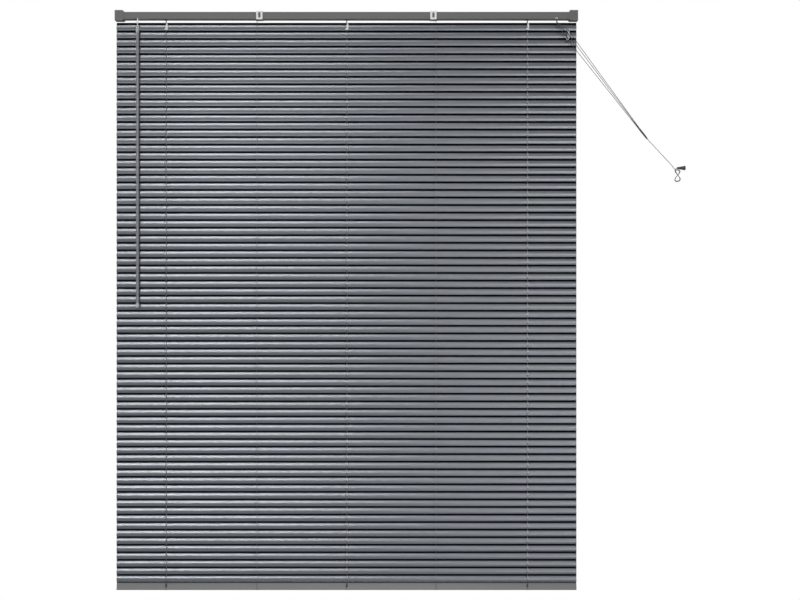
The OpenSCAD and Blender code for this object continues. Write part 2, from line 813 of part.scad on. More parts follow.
// Cord lock: a housing in the rail, with a pulley and a knurled roller that pinches the cords.
module lock_housing() {
    back = rail_back - rail_t - 0.1;
    right = lock_left + lock_w;
    inner = lock_front + lock_wall;
    color(dark_grey)
        difference() {
            block([lock_left, lock_front, rail_floor + 0.1], [right, back, rail_top - 1]);
            block([lock_left - over, inner, rail_floor + 1], [lock_x + 6, lock_web, rail_top + over]);
            block([lock_x - 4, lock_front - over, rail_floor - over], [lock_x + 4, lock_web, outlet_z + 3.4]);
            block([lock_left + 3, rail_y + 3, rail_floor + 3], [right - 3, back - 2, rail_top + over]);
            bar_y(1 + fixed_gap, lock_front - over, lock_web + 3, pulley_x, pulley_z);
            roller_slot(1 + play, lock_front - over, lock_web + 1.6);
            edge_relief(lock_left, right);
        }
}

// Slot that the locking roller's stubs run up, away from the cords.
module roller_slot(r, from, to) {
    bar_y(r, from, to, roller_x, roller_z);
    bar_y(r, from, to, roller_x - roller_travel * cos(roller_lean),
        roller_z + roller_travel * sin(roller_lean));
    translate([roller_x, 0, roller_z])
        rotate([0, roller_lean, 0])
            block([-roller_travel, from, -r + fixed_gap / 2], [0, to, r - fixed_gap / 2]);
}

module lock_pin() {
    color(zinc)
        bar_y(1, lock_front + 0.1, lock_web + 3, pulley_x, pulley_z);
}

module lock_pulley() {
    color(white)
        difference() {
            bar_y(pulley_r, lock_front + lock_wall + 0.2, lock_web - pass_gap, pulley_x, pulley_z);
            bar_y(1 + play, lock_front, lock_web, pulley_x, pulley_z);
        }
}

// Knurled roller with grooves along its length and a stub at each end.
module lock_roller() {
    low = lock_front + lock_wall + 0.2;
    high = lock_web - pass_gap;
    color(zinc) {
        difference() {
            bar_y(roller_r, low, high, roller_x, roller_z);
            for (k = [0:11])
                translate([roller_x, 0, roller_z])
                    rotate([0, k * 30, 0])
                        block([roller_r - 0.3, low - over, -0.3], [roller_r + over, high + over, 0.3]);
        }
        bar_y(1, lock_front + 0.1, lock_web + 1.4, roller_x, roller_z);
    }
}

// Outlet: a bush with a rounded flange in the rail's face, low down.
module cord_outlet() {
    bore = outlet_r - 0.5;
    color([0.92, 0.9, 0.78])
        translate([lock_x, rail_front, outlet_z])
            rotate([90, 0, 0])
                rotate_extrude($fn = 48)
                    polygon(concat(
                        [[bore, -2], [outlet_r, -2], [outlet_r, 0], [bead_r, 0]],
                        arc([(bead_r + bore) / 2, 0.2], (bead_r - bore) / 2, 0, 180, 6)
                    ));
}

// Stop on a lift cord: a sleeve with a flat leg that hangs in front of the first slat.
module cord_stop(x) {
    cx = x + lift_side;
    top = slat_top_z + 9.4;
    front = rail_y - cord_y - ladder_d / 2;
    translate([cx, lift_y, top - 3])
        difference() {
            cylinder(r = cord_d / 2 + 0.6, h = 3, $fn = 32);
            translate([0, 0, -over])
                cylinder(r = cord_d / 2 + fixed_gap, h = 3 + 2 * over, $fn = 32);
        }
    translate([0, front + 0.7, 0])
        rotate([90, 0, 0])
            linear_extrude(height = 2.4)
                polygon([
                    [x + 0.8, top], [x + 4.6, top], [x + 5.8, top - 1.6],
                    [x + 5.8, top - 18.6], [x + 5, top - 19.6], [x + 0.8, top - 19.6]
                ]);
    block([x + 1, front + 0.7, top - 3], [x + 2.4, lift_y - cord_d / 2 - 0.3, top]);
    translate([0, front - 0.2, 0])
        rotate([90, 0, 0])
            linear_extrude(height = 1.5)
                polygon([[x - 4, top - 19.6], [x + 2, top - 19.6], [x + 2, top - 12], [x - 2.4, top - 16]]);
}

module cord_stops() {
    color(white)
        for (k = lift_stations)
            cord_stop(station_x[k]);
}

// Ladder: one outline with a window between each two rungs, down to the bottom rail.
function rung_at_front(k) =
    let (t = (cord_y + rung_n * -sin(slat_tilt)) / cos(slat_tilt)) slat_z(k) + tilted(t, rung_n)[1];
function rung_at_back(k) =
    let (t = (-cord_y + rung_n * -sin(slat_tilt)) / cos(slat_tilt)) slat_z(k) + tilted(t, rung_n)[1];

// Place in a ladder's section from a place in the bottom rail's section.
function at_bottom(p) = [bottom_y - rail_y, bottom_z] + tilted(p[0], p[1]);

// Round the bottom rail's lower edge at a distance from it, and round its upper edge.
function round_low(gap) = concat(
    arc(face_corner, face_r + gap, slat_tilt, 0, 3),
    arc(under_corner, under_r + gap, 0, -90, 3),
    [[plug_w / 2, -bottom_b - gap]]
);
function round_high(gap) = concat(
    [[-plug_w / 2, -bottom_b - gap]],
    arc([-under_corner[0], under_corner[1]], under_r + gap, -90, -117, 1)
);
function turned_round(list) = [for (k = [len(list) - 1:-1:0]) list[k]];

module ladder(x) {
    h = ladder_d / 2;
    rung = rung_d / 2 / cos(slat_tilt);
    slope = tan(slat_tilt);
    fy = -cord_y;
    by = cord_y;
    last = slat_count - 1;
    gap = 0.02;
    outline = concat(
        [[-drum_cord_y - h, rod_z], [fy - h, ladder_join_z]],
        [for (p = round_low(gap + ladder_d)) at_bottom(p)],
        [for (p = turned_round(round_low(gap))) at_bottom(p)],
        [[fy + h, rung_at_front(last) - rung + h * slope], [by - h, rung_at_back(last) - rung - h * slope]],
        [for (p = turned_round(round_high(gap))) at_bottom(p)],
        [for (p = round_high(gap + ladder_d)) at_bottom(p)],
        [[by + h, rung_at_back(last) - rung], [by + h, ladder_join_z],
            [drum_cord_y + h, rod_z], [drum_cord_y - h, rod_z], [by - h, ladder_join_z],
            [by - h, rung_at_back(0) + rung - h * slope], [fy + h, rung_at_front(0) + rung + h * slope],
            [fy + h, ladder_join_z], [-drum_cord_y + h, rod_z]]
    );
    windows = [for (k = [0:last - 1]) each [
        [fy + h, rung_at_front(k) - rung + h * slope],
        [by - h, rung_at_back(k) - rung - h * slope],
        [by - h, rung_at_back(k + 1) + rung - h * slope],
        [fy + h, rung_at_front(k + 1) + rung + h * slope]
    ]];
    n = len(outline);
    color(cord_grey)
        translate([x, rail_y, 0])
            along_x(ladder_d)
                polygon(
                    points = concat(outline, windows),
                    paths = concat(
                        [[for (j = [0:n - 1]) j]],
                        [for (k = [0:last - 1]) [for (j = [0:3]) n + 4 * k + j]]
                    )
                );
}

module ladder_1() ladder(station_x[0]);
module ladder_2() ladder(station_x[1]);
module ladder_3() ladder(station_x[2]);
module ladder_4() ladder(station_x[3]);
module ladder_5() ladder(station_x[4]);

// Slat: a crowned strip with a rout slot at each lift cord.
module slat_section() {
    rise = arc_r - slat_crown;
    polygon([
        for (p = concat(
            arc([0, -rise], arc_r + slat_t / 2, 90 - arc_half, 90 + arc_half, arc_steps),
            arc([0, -rise], arc_r - slat_t / 2, 90 + arc_half, 90 - arc_half, arc_steps)
        )) tilted(p[0], p[1])
    ]);
}

module rout_cut(x) {
    c = rout_w / 4;
    w = rout_w / 2;
    l = rout_l / 2;
    translate([x, 0, 0])
        rotate([slat_tilt, 0, 0])
            translate([0, 0, -1])
                linear_extrude(height = slat_crown + 3)
                    polygon([
                        [-w + c, -l], [w - c, -l], [w, -l + c], [w, l - c],
                        [w - c, l], [-w + c, l], [-w, l - c], [-w, -l + c]
                    ]);
}

module slat() {
    difference() {
        along_x(slat_l)
            slat_section();
        for (k = lift_stations)
            rout_cut(station_x[k] + lift_side / 2);
    }
}

module slats() {
    color(slat_grey)
        for (k = [0:slat_count - 1])
            translate([0, rail_y, slat_z(k)])
                slat();
}

// Bottom rail: a closed box section with a crowned face, tilted with the slats.
module bottom_section(inset) {
    c = face_corner;
    d = under_corner;
    polygon([
        for (p = concat(
            arc(c, face_r - inset, 0, 90, 4),
            arc([-c[0], c[1]], face_r - inset, 90, 180, 4),
            arc([-d[0], d[1]], under_r - inset, 180, 270, 3),
            arc(d, under_r - inset, 270, 360, 3)
        )) tilted(p[0], p[1])
    ]);
}

// Frame of the bottom rail: +Z points out of its face to the room.
module bottom_frame(x) {
    translate([x, bottom_y, bottom_z])
        rotate([slat_tilt, 0, 0])
            children();
}

module bottom_rail() {
    color(steel_grey)
        difference() {
            translate([0, bottom_y, bottom_z])
                along_x(bottom_l)
                    difference() {
                        bottom_section(0);
                        bottom_section(bottom_t);
                    }
            for (k = lift_stations)
                bottom_frame(station_x[k] + lift_side / 2)
                    obround(lift_hole_w, lift_hole_l, 0, bottom_h);
            for (x = station_x)
                bottom_frame(x)
                    block([-plug_l / 2 + 1, -plug_w / 2 + 1, -bottom_h], [plug_l / 2 - 1, plug_w / 2 - 1, 0]);
        }
}

// Slot with round ends, along y, between two heights.
module obround(w, l, low, high) {
    for (side = [-1, 1])
        translate([0, side * (l - w) / 2, low])
            cylinder(r = w / 2, h = high - low, $fn = 32);
    block([-w / 2, -(l - w) / 2, low], [w / 2, (l - w) / 2, high]);
}

module bottom_cap_left() {
    color(dark_grey)
        translate([-bottom_l / 2, bottom_y, bottom_z]) {
            translate([-0.5, 0, 0])
                along_x(1)
                    bottom_section(0);
            translate([4, 0, 0])
                along_x(8)
                    bottom_section(bottom_t + 0.05);
        }
}

module bottom_cap_right() mirrored() bottom_cap_left();

// Ladder plug: a button pressed into the underside, over the ladder's two ends.
module ladder_plug(x) {
    color(dark_grey)
        bottom_frame(x) {
            block([-plug_l / 2, -plug_w / 2, -bottom_h / 2 - plug_h],
                [plug_l / 2, plug_w / 2, -bottom_h / 2]);
            block([-plug_l / 2 + 1.1, -plug_w / 2 + 1.1, -bottom_h / 2],
                [plug_l / 2 - 1.1, plug_w / 2 - 1.1, -bottom_h / 2 + 4]);
        }
}

module ladder_plug_1() ladder_plug(station_x[0]);
module ladder_plug_2() ladder_plug(station_x[1]);
module ladder_plug_3() ladder_plug(station_x[2]);
module ladder_plug_4() ladder_plug(station_x[3]);
module ladder_plug_5() ladder_plug(station_x[4]);

// Lift cords: from the bottom rail through the slats, along the rail and through the lock.
module lift_cord_left() color(cord_grey) tube(lift_route(0), cord_d);
module lift_cord_centre() color(cord_grey) tube(lift_route(1), cord_d);
module lift_cord_right() color(cord_grey) tube(lift_route(2), cord_d);

// Pull cords: the same three cords, free from the outlet to the joiner.
module pull_cord_1() color(cord_grey) tube(pull_route(2, 0), cord_d);
module pull_cord_2() color(cord_grey) tube(pull_route(1, 1), cord_d);
module pull_cord_3() color(cord_grey) tube(pull_route(0, 2), cord_d);

// Frame whose +Z runs from one point to another.
module between(a, b) {
    d = b - a;
    translate(a)
        rotate([0, acos(d[2] / norm(d)), atan2(d[1], d[0])])
            children();
}

// Joiner: a slim two-part sleeve over the knots of the three cords.
module cord_joiner() {
    l = norm(joiner_b - joiner_a);
    color(dark_grey)
        between(joiner_a, joiner_b)
            rotate_extrude($fn = 48)
                polygon([
                    [0, 0], [2.3, 0], [2.8, 2], [3, l / 2 - 2], [2.8, l / 2 - 1.6], [2.8, l / 2 + 1.6],
                    [3, l / 2 + 2], [2.6, l - 6], [1.4, l], [0, l]
                ]);
}

// Spreader: a clear plate with an eye for each of the three cords.
module cord_spreader() {
    eyes = [for (points = pull_points) outlet_at + points[eye_step]];
    front = -35;
    back = -33;
    color(clear)
        difference() {
            union() {
                for (e = eyes)
                    bar_y(4.2, front, back, e[0], e[2]);
                for (k = [0:1])
                    translate([eyes[k][0], 0, eyes[k][2]])
                        rotate([0, atan2(eyes[k + 1][0] - eyes[k][0], eyes[k + 1][2] - eyes[k][2]), 0])
                            block([-2.5, front, 0], [2.5, back, norm(eyes[k + 1] - eyes[k])]);
            }
            for (e = eyes)
                bar_y(2, front - over, back + over, e[0], e[2]);
        }
}

module pull_cord_single() color(dark_grey) tube(single_route, cord_d);

// Tassel: a moulded cone that the knotted end sits in.
module tassel() {
    color(dark_grey)
        translate(tassel_at)
            rotate([0, 90, 0])
                rotate_extrude($fn = 48)
                    polygon([[0, 0], [2.6, 0], [3.2, 4], [5.4, 16], [7, 24.4], [6.4, 25.4], [0, 25.4]]);
}

// Cleat: a base on the wall, a post with two screws down through it, and a horn up and down.
module cleat() {
    post_x = 4.6;
    post_z = 9;
    tip = cleat_l / 2;
    screw_z = 4.5;
    color(clear)
        translate(cleat_at)
            difference() {
                union() {
                    block([-8, -3, -15], [8, 0, 15]);
                    block([-post_x, -17, -post_z], [post_x, -3, post_z]);
                    along_x(6)
                        polygon([
                            [-15.4, -tip], [-17.4, -tip + 1], [-19.5, -14], [-20, -post_z], [-20, post_z],
                            [-19.5, 14], [-17.4, tip - 1], [-15.4, tip], [-16, 14], [-15.4, post_z - 1],
                            [-15.4, -post_z + 1], [-16, -14]
                        ]);
                }
                for (z = [-screw_z, screw_z]) {
                    bar_y(1.8, -21, over, 0, z);
                    bar_y(3.4, -21, -5, 0, z);
                }
            }
}

head_rail();
rail_cap_left();
rail_cap_right();
bracket_left();
bracket_right();
cover_left();
cover_right();
hinge_pins();
support_clip_left();
support_clip_right();
tilt_rod();
tilt_drum_1();
tilt_drum_2();
tilt_drum_3();
tilt_drum_4();
tilt_drum_5();
drum_cradle_1();
drum_cradle_2();
drum_cradle_3();
drum_cradle_4();
drum_cradle_5();
tilter_housing();
tilter_gear();
tilter_worm();
wand_link();
wand_connector();
wand_rod();
wand_tip();
lock_housing();
lock_pulley();
lock_pin();
lock_roller();
cord_outlet();
cord_stops();
ladder_1();
ladder_2();
ladder_3();
ladder_4();
ladder_5();
slats();
bottom_rail();
bottom_cap_left();
bottom_cap_right();
ladder_plug_1();
ladder_plug_2();
ladder_plug_3();
ladder_plug_4();
ladder_plug_5();
lift_cord_left();
lift_cord_centre();
lift_cord_right();
pull_cord_1();
pull_cord_2();
pull_cord_3();
cord_spreader();
cord_joiner();
pull_cord_single();
tassel();
cleat();
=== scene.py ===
"""A closed venetian blind with aluminium slats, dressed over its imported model.

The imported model's lengths are in metres, the wall is y = 0 and the room is on the -Y side. The
classes of the blind's own pieces hold their sizes in millimetres and turn them into metres as they
build. The cords' diameter, the finishes and the studio are in metres.
"""

import json
import logging
import math
from dataclasses import dataclass
from enum import Enum
from typing import Optional, Sequence, Union

import bpy
import numpy as np
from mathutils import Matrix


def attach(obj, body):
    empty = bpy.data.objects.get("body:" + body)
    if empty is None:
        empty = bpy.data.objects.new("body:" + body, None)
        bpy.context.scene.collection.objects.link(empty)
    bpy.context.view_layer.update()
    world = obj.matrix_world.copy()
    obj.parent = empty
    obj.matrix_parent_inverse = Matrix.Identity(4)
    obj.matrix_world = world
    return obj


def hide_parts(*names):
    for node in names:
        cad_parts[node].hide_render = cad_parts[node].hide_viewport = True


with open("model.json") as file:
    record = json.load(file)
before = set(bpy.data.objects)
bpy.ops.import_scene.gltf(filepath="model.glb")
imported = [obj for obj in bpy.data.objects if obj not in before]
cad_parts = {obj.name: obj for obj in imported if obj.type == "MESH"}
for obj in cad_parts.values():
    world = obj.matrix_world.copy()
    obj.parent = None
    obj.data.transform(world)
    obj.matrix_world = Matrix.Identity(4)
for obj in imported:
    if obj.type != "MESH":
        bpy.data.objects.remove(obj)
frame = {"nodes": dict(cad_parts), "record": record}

Array = np.ndarray
Triple = tuple[float, float, float]
Pair = tuple[float, float]
Operand = Union["Value", float, int]
log = logging.getLogger("blind")
MM = 0.001


class Body(Enum):
    """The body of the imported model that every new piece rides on."""

    BLIND = "blind"


class Slot(Enum):
    """The record's material slots."""

    SLAT_ALUMINIUM = "slat_aluminium"
    PAINTED_STEEL = "painted_steel"
    WHITE_STEEL = "white_steel"
    BARE_STEEL = "bare_steel"
    WHITE_PLASTIC = "white_plastic"
    GREY_PLASTIC = "grey_plastic"
    DARK_PLASTIC = "dark_plastic"
    CREAM_PLASTIC = "cream_plastic"
    CLEAR_PLASTIC = "clear_plastic"
    WAND_PLASTIC = "wand_plastic"
    GREY_CORD = "grey_cord"
    DARK_CORD = "dark_cord"


# ---- shader maths


@dataclass
class Value:
    """One output in a node tree, with arithmetic that adds Math nodes."""

    graph: "Graph"
    out: bpy.types.NodeSocket

    def _math(self, operation: str, *others: Operand, swapped: bool = False) -> "Value":
        """Adds a Math node.

        Args:
            operation: The Math node's operation.
            others: The other operands.
            swapped: Whether this value comes last.

        Returns:
            The node's result.
        """
        terms = [*others, self] if swapped else [self, *others]
        return self.graph.node("ShaderNodeMath", {"operation": operation}, dict(enumerate(terms)))

    def __add__(self, other: Operand) -> "Value":
        """Returns the sum."""
        return self._math("ADD", other)

    __radd__ = __add__

    def __sub__(self, other: Operand) -> "Value":
        """Returns the difference."""
        return self._math("SUBTRACT", other)

    def __rsub__(self, other: Operand) -> "Value":
        """Returns the other operand less this one."""
        return self._math("SUBTRACT", other, swapped=True)

    def __mul__(self, other: Operand) -> "Value":
        """Returns the product."""
        return self._math("MULTIPLY", other)

    __rmul__ = __mul__

    def __truediv__(self, other: Operand) -> "Value":
        """Returns the quotient."""
        return self._math("DIVIDE", other)

    def __rtruediv__(self, other: Operand) -> "Value":
        """Returns the other operand over this one."""
        return self._math("DIVIDE", other, swapped=True)

    def sine(self) -> "Value":
        """Returns the sine of this value in radians."""
        return self._math("SINE")

    def larger(self, other: Operand) -> "Value":
        """Returns the larger of the two."""
        return self._math("MAXIMUM", other)

    def spread(self, low: float, high: float, to_low: float, to_high: float) -> "Value":
        """Maps a range onto another one, clamped.

        Args:
            low: Start of the range that comes in.
            high: End of the range that comes in.
            to_low: What the start becomes.
            to_high: What the end becomes.

        Returns:
            The mapped value.
        """
        bounds = {"From Min": low, "From Max": high, "To Min": to_low, "To Max": to_high}
        return self.graph.node("ShaderNodeMapRange", {}, {"Value": self, **bounds})

    def from_noise(self, low: float, high: float) -> "Value":
        """Maps soft noise, which mostly lies between 0.3 and 0.7, onto a range."""
        return self.spread(0.3, 0.7, low, high)


class Graph:
    """A node tree whose nodes come from one method."""

    def __init__(self, tree: bpy.types.NodeTree) -> None:
        """Takes over a tree and empties it."""
        self.tree = tree
        self.tree.nodes.clear()

    def node(self, kind: str, settings: dict, terms: dict, out: Union[int, str] = 0) -> Value:
        """Adds a node, sets it, and fills its sockets.

        Args:
            kind: The node's type.
            settings: The node's own properties, set first.
            terms: Socket number or name to a Value or a constant.
            out: Number or name of the output to return.

        Returns:
            That output.
        """
        made = self.tree.nodes.new(kind)
        for key, value in settings.items():
            setattr(made, key, value)
        for key, term in terms.items():
            socket = made.inputs[key]
            if isinstance(term, Value):
                self.tree.links.new(term.out, socket)
            else:
                socket.default_value = term
        return Value(self, made.outputs[out])

    def close(self, kind: str, surface: Value) -> None:
        """Adds the tree's output node and links a shader to it."""
        end = self.tree.nodes.new(kind)
        self.tree.links.new(surface.out, end.inputs["Surface"])


class Shade(Graph):
    """A material's nodes, built round one Principled shader."""

    # The near black matt mixed in as a painted shadow where a lap would shade a surface.
    shadow = {"Base Color": (0.004, 0.0055, 0.009, 1), "Roughness": 0.9, "Specular IOR Level": 0.0}

    def __init__(self, name: str) -> None:
        """Starts an empty material.

        Args:
            name: The material's name.
        """
        self.material = bpy.data.materials.new(name)
        self.material.use_nodes = True
        super().__init__(self.material.node_tree)

    def place(self) -> Value:
        """Returns the Object coordinates."""
        return self.node("ShaderNodeTexCoord", {}, {}, "Object")

    def stretched(self, x: float, y: float, z: float) -> Value:
        """Returns the Object coordinates scaled along the three axes."""
        terms = {"Vector": self.place(), "Scale": (x, y, z)}
        return self.node("ShaderNodeMapping", {"vector_type": "POINT"}, terms)

    def noise(self, vector: Value, scale: float, detail: float = 3.0) -> Value:
        """Returns soft noise, at a scale in repeats to the metre."""
        terms = {"Vector": vector, "Scale": scale, "Detail": detail}
        return self.node("ShaderNodeTexNoise", {}, terms)

    def run(self, name: str) -> Value:
        """Returns an attribute of the mesh that gives distances along its surface."""
        return self.node("ShaderNodeAttribute", {"attribute_name": name}, {}, "Fac")

    def tint(self, factor: Value, dark: Sequence[float], light: Sequence[float]) -> Value:
        """Returns a colour between two, by a factor from 0 to 1.

        Args:
            factor: The factor.
            dark: The colour at 0, for the Mix node's colour socket A, its input 6.
            light: The colour at 1, for the Mix node's colour socket B, its input 7.

        Returns:
            The Mix node's colour, its output 2.
        """
        terms = {0: factor, 6: (*dark, 1.0), 7: (*light, 1.0)}
        return self.node("ShaderNodeMix", {"data_type": "RGBA"}, terms, 2)

    def bump(self, height: Value, depth: float) -> Value:
        """Returns a normal bumped by a height from 0 to 1, with its depth in metres."""
        return self.node("ShaderNodeBump", {}, {"Height": height, "Distance": depth}, "Normal")

    def finish(self, terms: dict, painted_shadow_mask: Optional[Value] = None) -> bpy.types.Material:
        """Adds the Principled shader and closes the material.

        Args:
            terms: Its socket names to Values or constants.
            painted_shadow_mask: How far the surface fades to the shadow, from 0 to 1.

        Returns:
            The material.
        """
        surface = self.node("ShaderNodeBsdfPrincipled", {}, terms, "BSDF")
        # Where a mask is given, the near black matt is mixed over the surface as a painted shadow.
        if painted_shadow_mask is not None:
            dark = self.node("ShaderNodeBsdfPrincipled", {}, self.shadow, "BSDF")
            surface = self.node("ShaderNodeMixShader", {}, {0: painted_shadow_mask, 1: surface, 2: dark})
        self.close("ShaderNodeOutputMaterial", surface)
        return self.material


def scaled(colour: Triple, factor: float) -> Triple:
    """Returns a colour made darker or lighter by a factor."""
    return tuple(c * factor for c in colour)


# ---- finishes


@dataclass(frozen=True)
class Lacquer:
    """Stove enamel or lacquer on sheet metal, with fine orange peel.

    A lap's shadow is painted on: dark up to the first run of `lap` and clear from the second, or
    clear up to the first height of `lap_height` and dark from the second.
    """

    name: str
    colour: Triple
    roughness: float = 0.38
    metallic: float = 0.0
    gloss: float = 0.5
    gloss_colour: Triple = (1.0, 1.0, 1.0)
    patch: float = 0.06
    peel: float = 0.000012
    wander: float = 0.03
    # lap, lap_height and lap_depth place a painted shadow: where it lies, and how dark it gets.
    lap: Optional[Pair] = None
    lap_height: Optional[Pair] = None
    lap_depth: float = 0.85
    drift_scale: float = 14.0
    flake_scale: float = 2600.0
    peel_scale: float = 900.0

    def painted_shadow_mask(self, shade: Shade) -> Optional[Value]:
        """Works out where a lap's painted shadow lies.

        Args:
            shade: The material that the shadow is in.

        Returns:
            The painted shadow from 0 to 1, or nothing where the finish has no lap.
        """
        if self.lap:
            return shade.run("run").spread(*self.lap, 1.0, 0.0)
        if self.lap_height:
            height = shade.node("ShaderNodeSeparateXYZ", {}, {0: shade.place()}, "Z")
            return height.spread(*self.lap_height, 0.0, self.lap_depth)
        return None

    def material(self) -> bpy.types.Material:
        """Makes the lacquer: its colour drifts by a few per cent, and flakes roughen it.

        Returns:
            The material.
        """
        shade = Shade(self.name)
        place = shade.place()
        drift = shade.noise(shade.stretched(0.4, 1.0, 1.0), self.drift_scale)
        flakes = shade.noise(place, self.flake_scale, 2.0)
        dark, light = scaled(self.colour, 1 - self.patch), scaled(self.colour, 1 + self.patch)
        smooth, rough = self.roughness - self.wander, self.roughness + self.wander
        return shade.finish({
            "Base Color": shade.tint(0.7 * drift + 0.3 * flakes, dark, light),
            "Metallic": self.metallic,
            "Roughness": (0.8 * drift + 0.2 * flakes).from_noise(smooth, rough),
            "Specular IOR Level": self.gloss,
            "Specular Tint": (*self.gloss_colour, 1.0),
            "Normal": shade.bump(shade.noise(place, self.peel_scale), self.peel),
        # The lap's painted shadow, where one is set, is mixed over the lacquer.
        }, self.painted_shadow_mask(shade))


@dataclass(frozen=True)
class Moulding:
    """Opaque moulded plastic with a fine spark-eroded grain."""

    name: str
    colour: Triple
    roughness: float = 0.45
    wander: float = 0.06
    grain: float = 0.00003
    cloud_scale: float = 60.0
    grain_scale: float = 1900.0

    def material(self) -> bpy.types.Material:
        """Makes the plastic: a cloudy colour under an even grain.

        Returns:
            The material.
        """
        shade = Shade(self.name)
        cloud = shade.noise(shade.place(), self.cloud_scale)
        grain = shade.noise(shade.place(), self.grain_scale, 4.0)
        smooth, rough = self.roughness - self.wander, self.roughness + self.wander
        return shade.finish({
            "Base Color": shade.tint(cloud, scaled(self.colour, 0.92), scaled(self.colour, 1.06)),
            "Roughness": grain.from_noise(smooth, rough),
            "Normal": shade.bump(grain, self.grain),
        })


@dataclass(frozen=True)
class ClearMoulding:
    """Clear plastic with slight flow lines."""

    name: str
    colour: Triple
    clarity: float = 0.7
    roughness: float = 0.12
    alpha: float = 1.0
    index: float = 1.49
    ripple: float = 0.00004
    flow_scale: float = 160.0

    def material(self) -> bpy.types.Material:
        """Makes the clear plastic: mostly transmission, with wavy gloss.

        Returns:
            The material.
        """
        shade = Shade(self.name)
        flow = shade.noise(shade.stretched(1.0, 1.0, 0.25), self.flow_scale)
        return shade.finish({
            "Base Color": shade.tint(flow, scaled(self.colour, 0.94), self.colour),
            "Roughness": flow.from_noise(self.roughness, self.roughness + 0.1),
            "IOR": self.index,
            "Transmission Weight": self.clarity,
            "Alpha": self.alpha,
            "Normal": shade.bump(flow, self.ripple),
        })


@dataclass(frozen=True)
class DrawnSteel:
    """Zinc-plated drawn steel with fine lines along one axis."""

    name: str
    stretch: Triple
    colour: Triple = (0.6, 0.61, 0.63)
    depth: float = 0.00001
    line_scale: float = 1500.0
    cloud_scale: float = 90.0

    def material(self) -> bpy.types.Material:
        """Makes the steel: streaks in roughness and colour along the drawing direction.

        Returns:
            The material.
        """
        shade = Shade(self.name)
        lines = shade.noise(shade.stretched(*self.stretch), self.line_scale, 2.0)
        cloud = shade.noise(shade.place(), self.cloud_scale)
        mixed = 0.5 * lines + 0.5 * cloud
        return shade.finish({
            "Base Color": shade.tint(mixed, scaled(self.colour, 0.82), self.colour),
            "Metallic": 1.0,
            "Roughness": lines.from_noise(0.26, 0.42),
            "Normal": shade.bump(lines, self.depth),
        })


@dataclass(frozen=True)
class Braid:
    """Braided polyester cord, on meshes with the attributes run and turn."""

    name: str
    colour: Triple
    stitch: float = 1.1 * MM
    strands: int = 8
    depth: float = 0.00012
    fuzz_scale: float = 2400.0

    def material(self) -> bpy.types.Material:
        """Makes the braid: two families of strands wind in opposite ways and cross.

        The height is the larger of two sine waves in run / stitch plus or minus turn x strands / 2.

        Returns:
            The material.
        """
        shade = Shade(self.name)
        along = shade.run("run") * (2 * math.pi / self.stitch)
        around = shade.run("turn") * (math.pi * self.strands)
        right = (along + around).sine()
        left = (along - around).sine()
        height = right.larger(left).spread(-1.0, 1.0, 0.0, 1.0)
        fuzz = shade.noise(shade.place(), self.fuzz_scale)
        mixed = 0.75 * height + 0.25 * fuzz
        return shade.finish({
            # The grooves between the strands are painted darker, as painted shade; the fuzz is the
            # cord's own uneven tone.
            "Base Color": shade.tint(mixed, scaled(self.colour, 0.55), self.colour),
            "Roughness": fuzz.from_noise(0.72, 0.86),
            "Normal": shade.bump(height, self.depth),
        })


# ---- meshes


@dataclass
class Shape:
    """Points and faces of a piece, with the two attributes that its finish reads.

    Each block of faces has one row of point numbers for each face.
    """

    points: Array
    faces: list[Array]
    run: Array
    turn: Array

    @staticmethod
    def joined(shapes: Sequence["Shape"]) -> "Shape":
        """Puts several shapes together.

        Args:
            shapes: The shapes.

        Returns:
            All of them as one, with their points numbered on.
        """
        starts = np.cumsum([0] + [len(s.points) for s in shapes])
        return Shape(
            np.concatenate([s.points for s in shapes]),
            [block + start for s, start in zip(shapes, starts) for block in s.faces],
            np.concatenate([s.run for s in shapes]),
            np.concatenate([s.turn for s in shapes]),
        )

    def repeated(self, moves: Array) -> "Shape":
        """Copies the shape: the points of copy k are the shape's own points plus moves[k].

        Args:
            moves: One move for each copy.

        Returns:
            All copies as one, with their points numbered on.
        """
        starts = len(self.points) * np.arange(len(moves))[:, None, None]
        return Shape(
            (self.points[None] + moves[:, None]).reshape(-1, 3),
            [(block[None] + starts).reshape(-1, block.shape[1]) for block in self.faces],
            np.tile(self.run, len(moves)),
            np.tile(self.turn, len(moves)),
        )

    def trimmed(self) -> "Shape":
        """Leaves out the points that no face uses.

        Returns:
            The shape with the other points numbered anew.
        """
        numbers = np.concatenate([block.ravel() for block in self.faces])
        used, order = np.unique(numbers, return_inverse=True)
        parts = np.split(order, np.cumsum([block.size for block in self.faces])[:-1])
        faces = [part.reshape(block.shape) for part, block in zip(parts, self.faces)]
        return Shape(self.points[used], faces, self.run[used], self.turn[used])

    def piece(
        self, name: str, body: Body, slot: Slot, material: bpy.types.Material
    ) -> bpy.types.Object:
        """Makes the object of this shape, riding on a body.

        Its faces are shaded smooth, with edges over 35 degrees left sharp.

        Args:
            name: The piece's name.
            body: The body that it rides on.
            slot: The record's material slot; not used.
            material: Its finish.

        Returns:
            The object.
        """
        mesh = bpy.data.meshes.new(name)
        faces = [face for block in self.faces for face in block.tolist()]
        mesh.from_pydata(self.points.tolist(), [], faces)
        for key, values in (("run", self.run), ("turn", self.turn)):
            kept = mesh.attributes.new(key, "FLOAT", "POINT")
            kept.data.foreach_set("value", values.astype(np.float32))
        mesh.shade_smooth()
        mesh.set_sharp_from_angle(angle=math.radians(35))
        mesh.materials.append(material)
        made = bpy.data.objects.new(name, mesh)
        bpy.context.scene.collection.objects.link(made)
        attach(made, body.value)
        log.info("%s: %d faces", name, len(mesh.polygons))
        return made


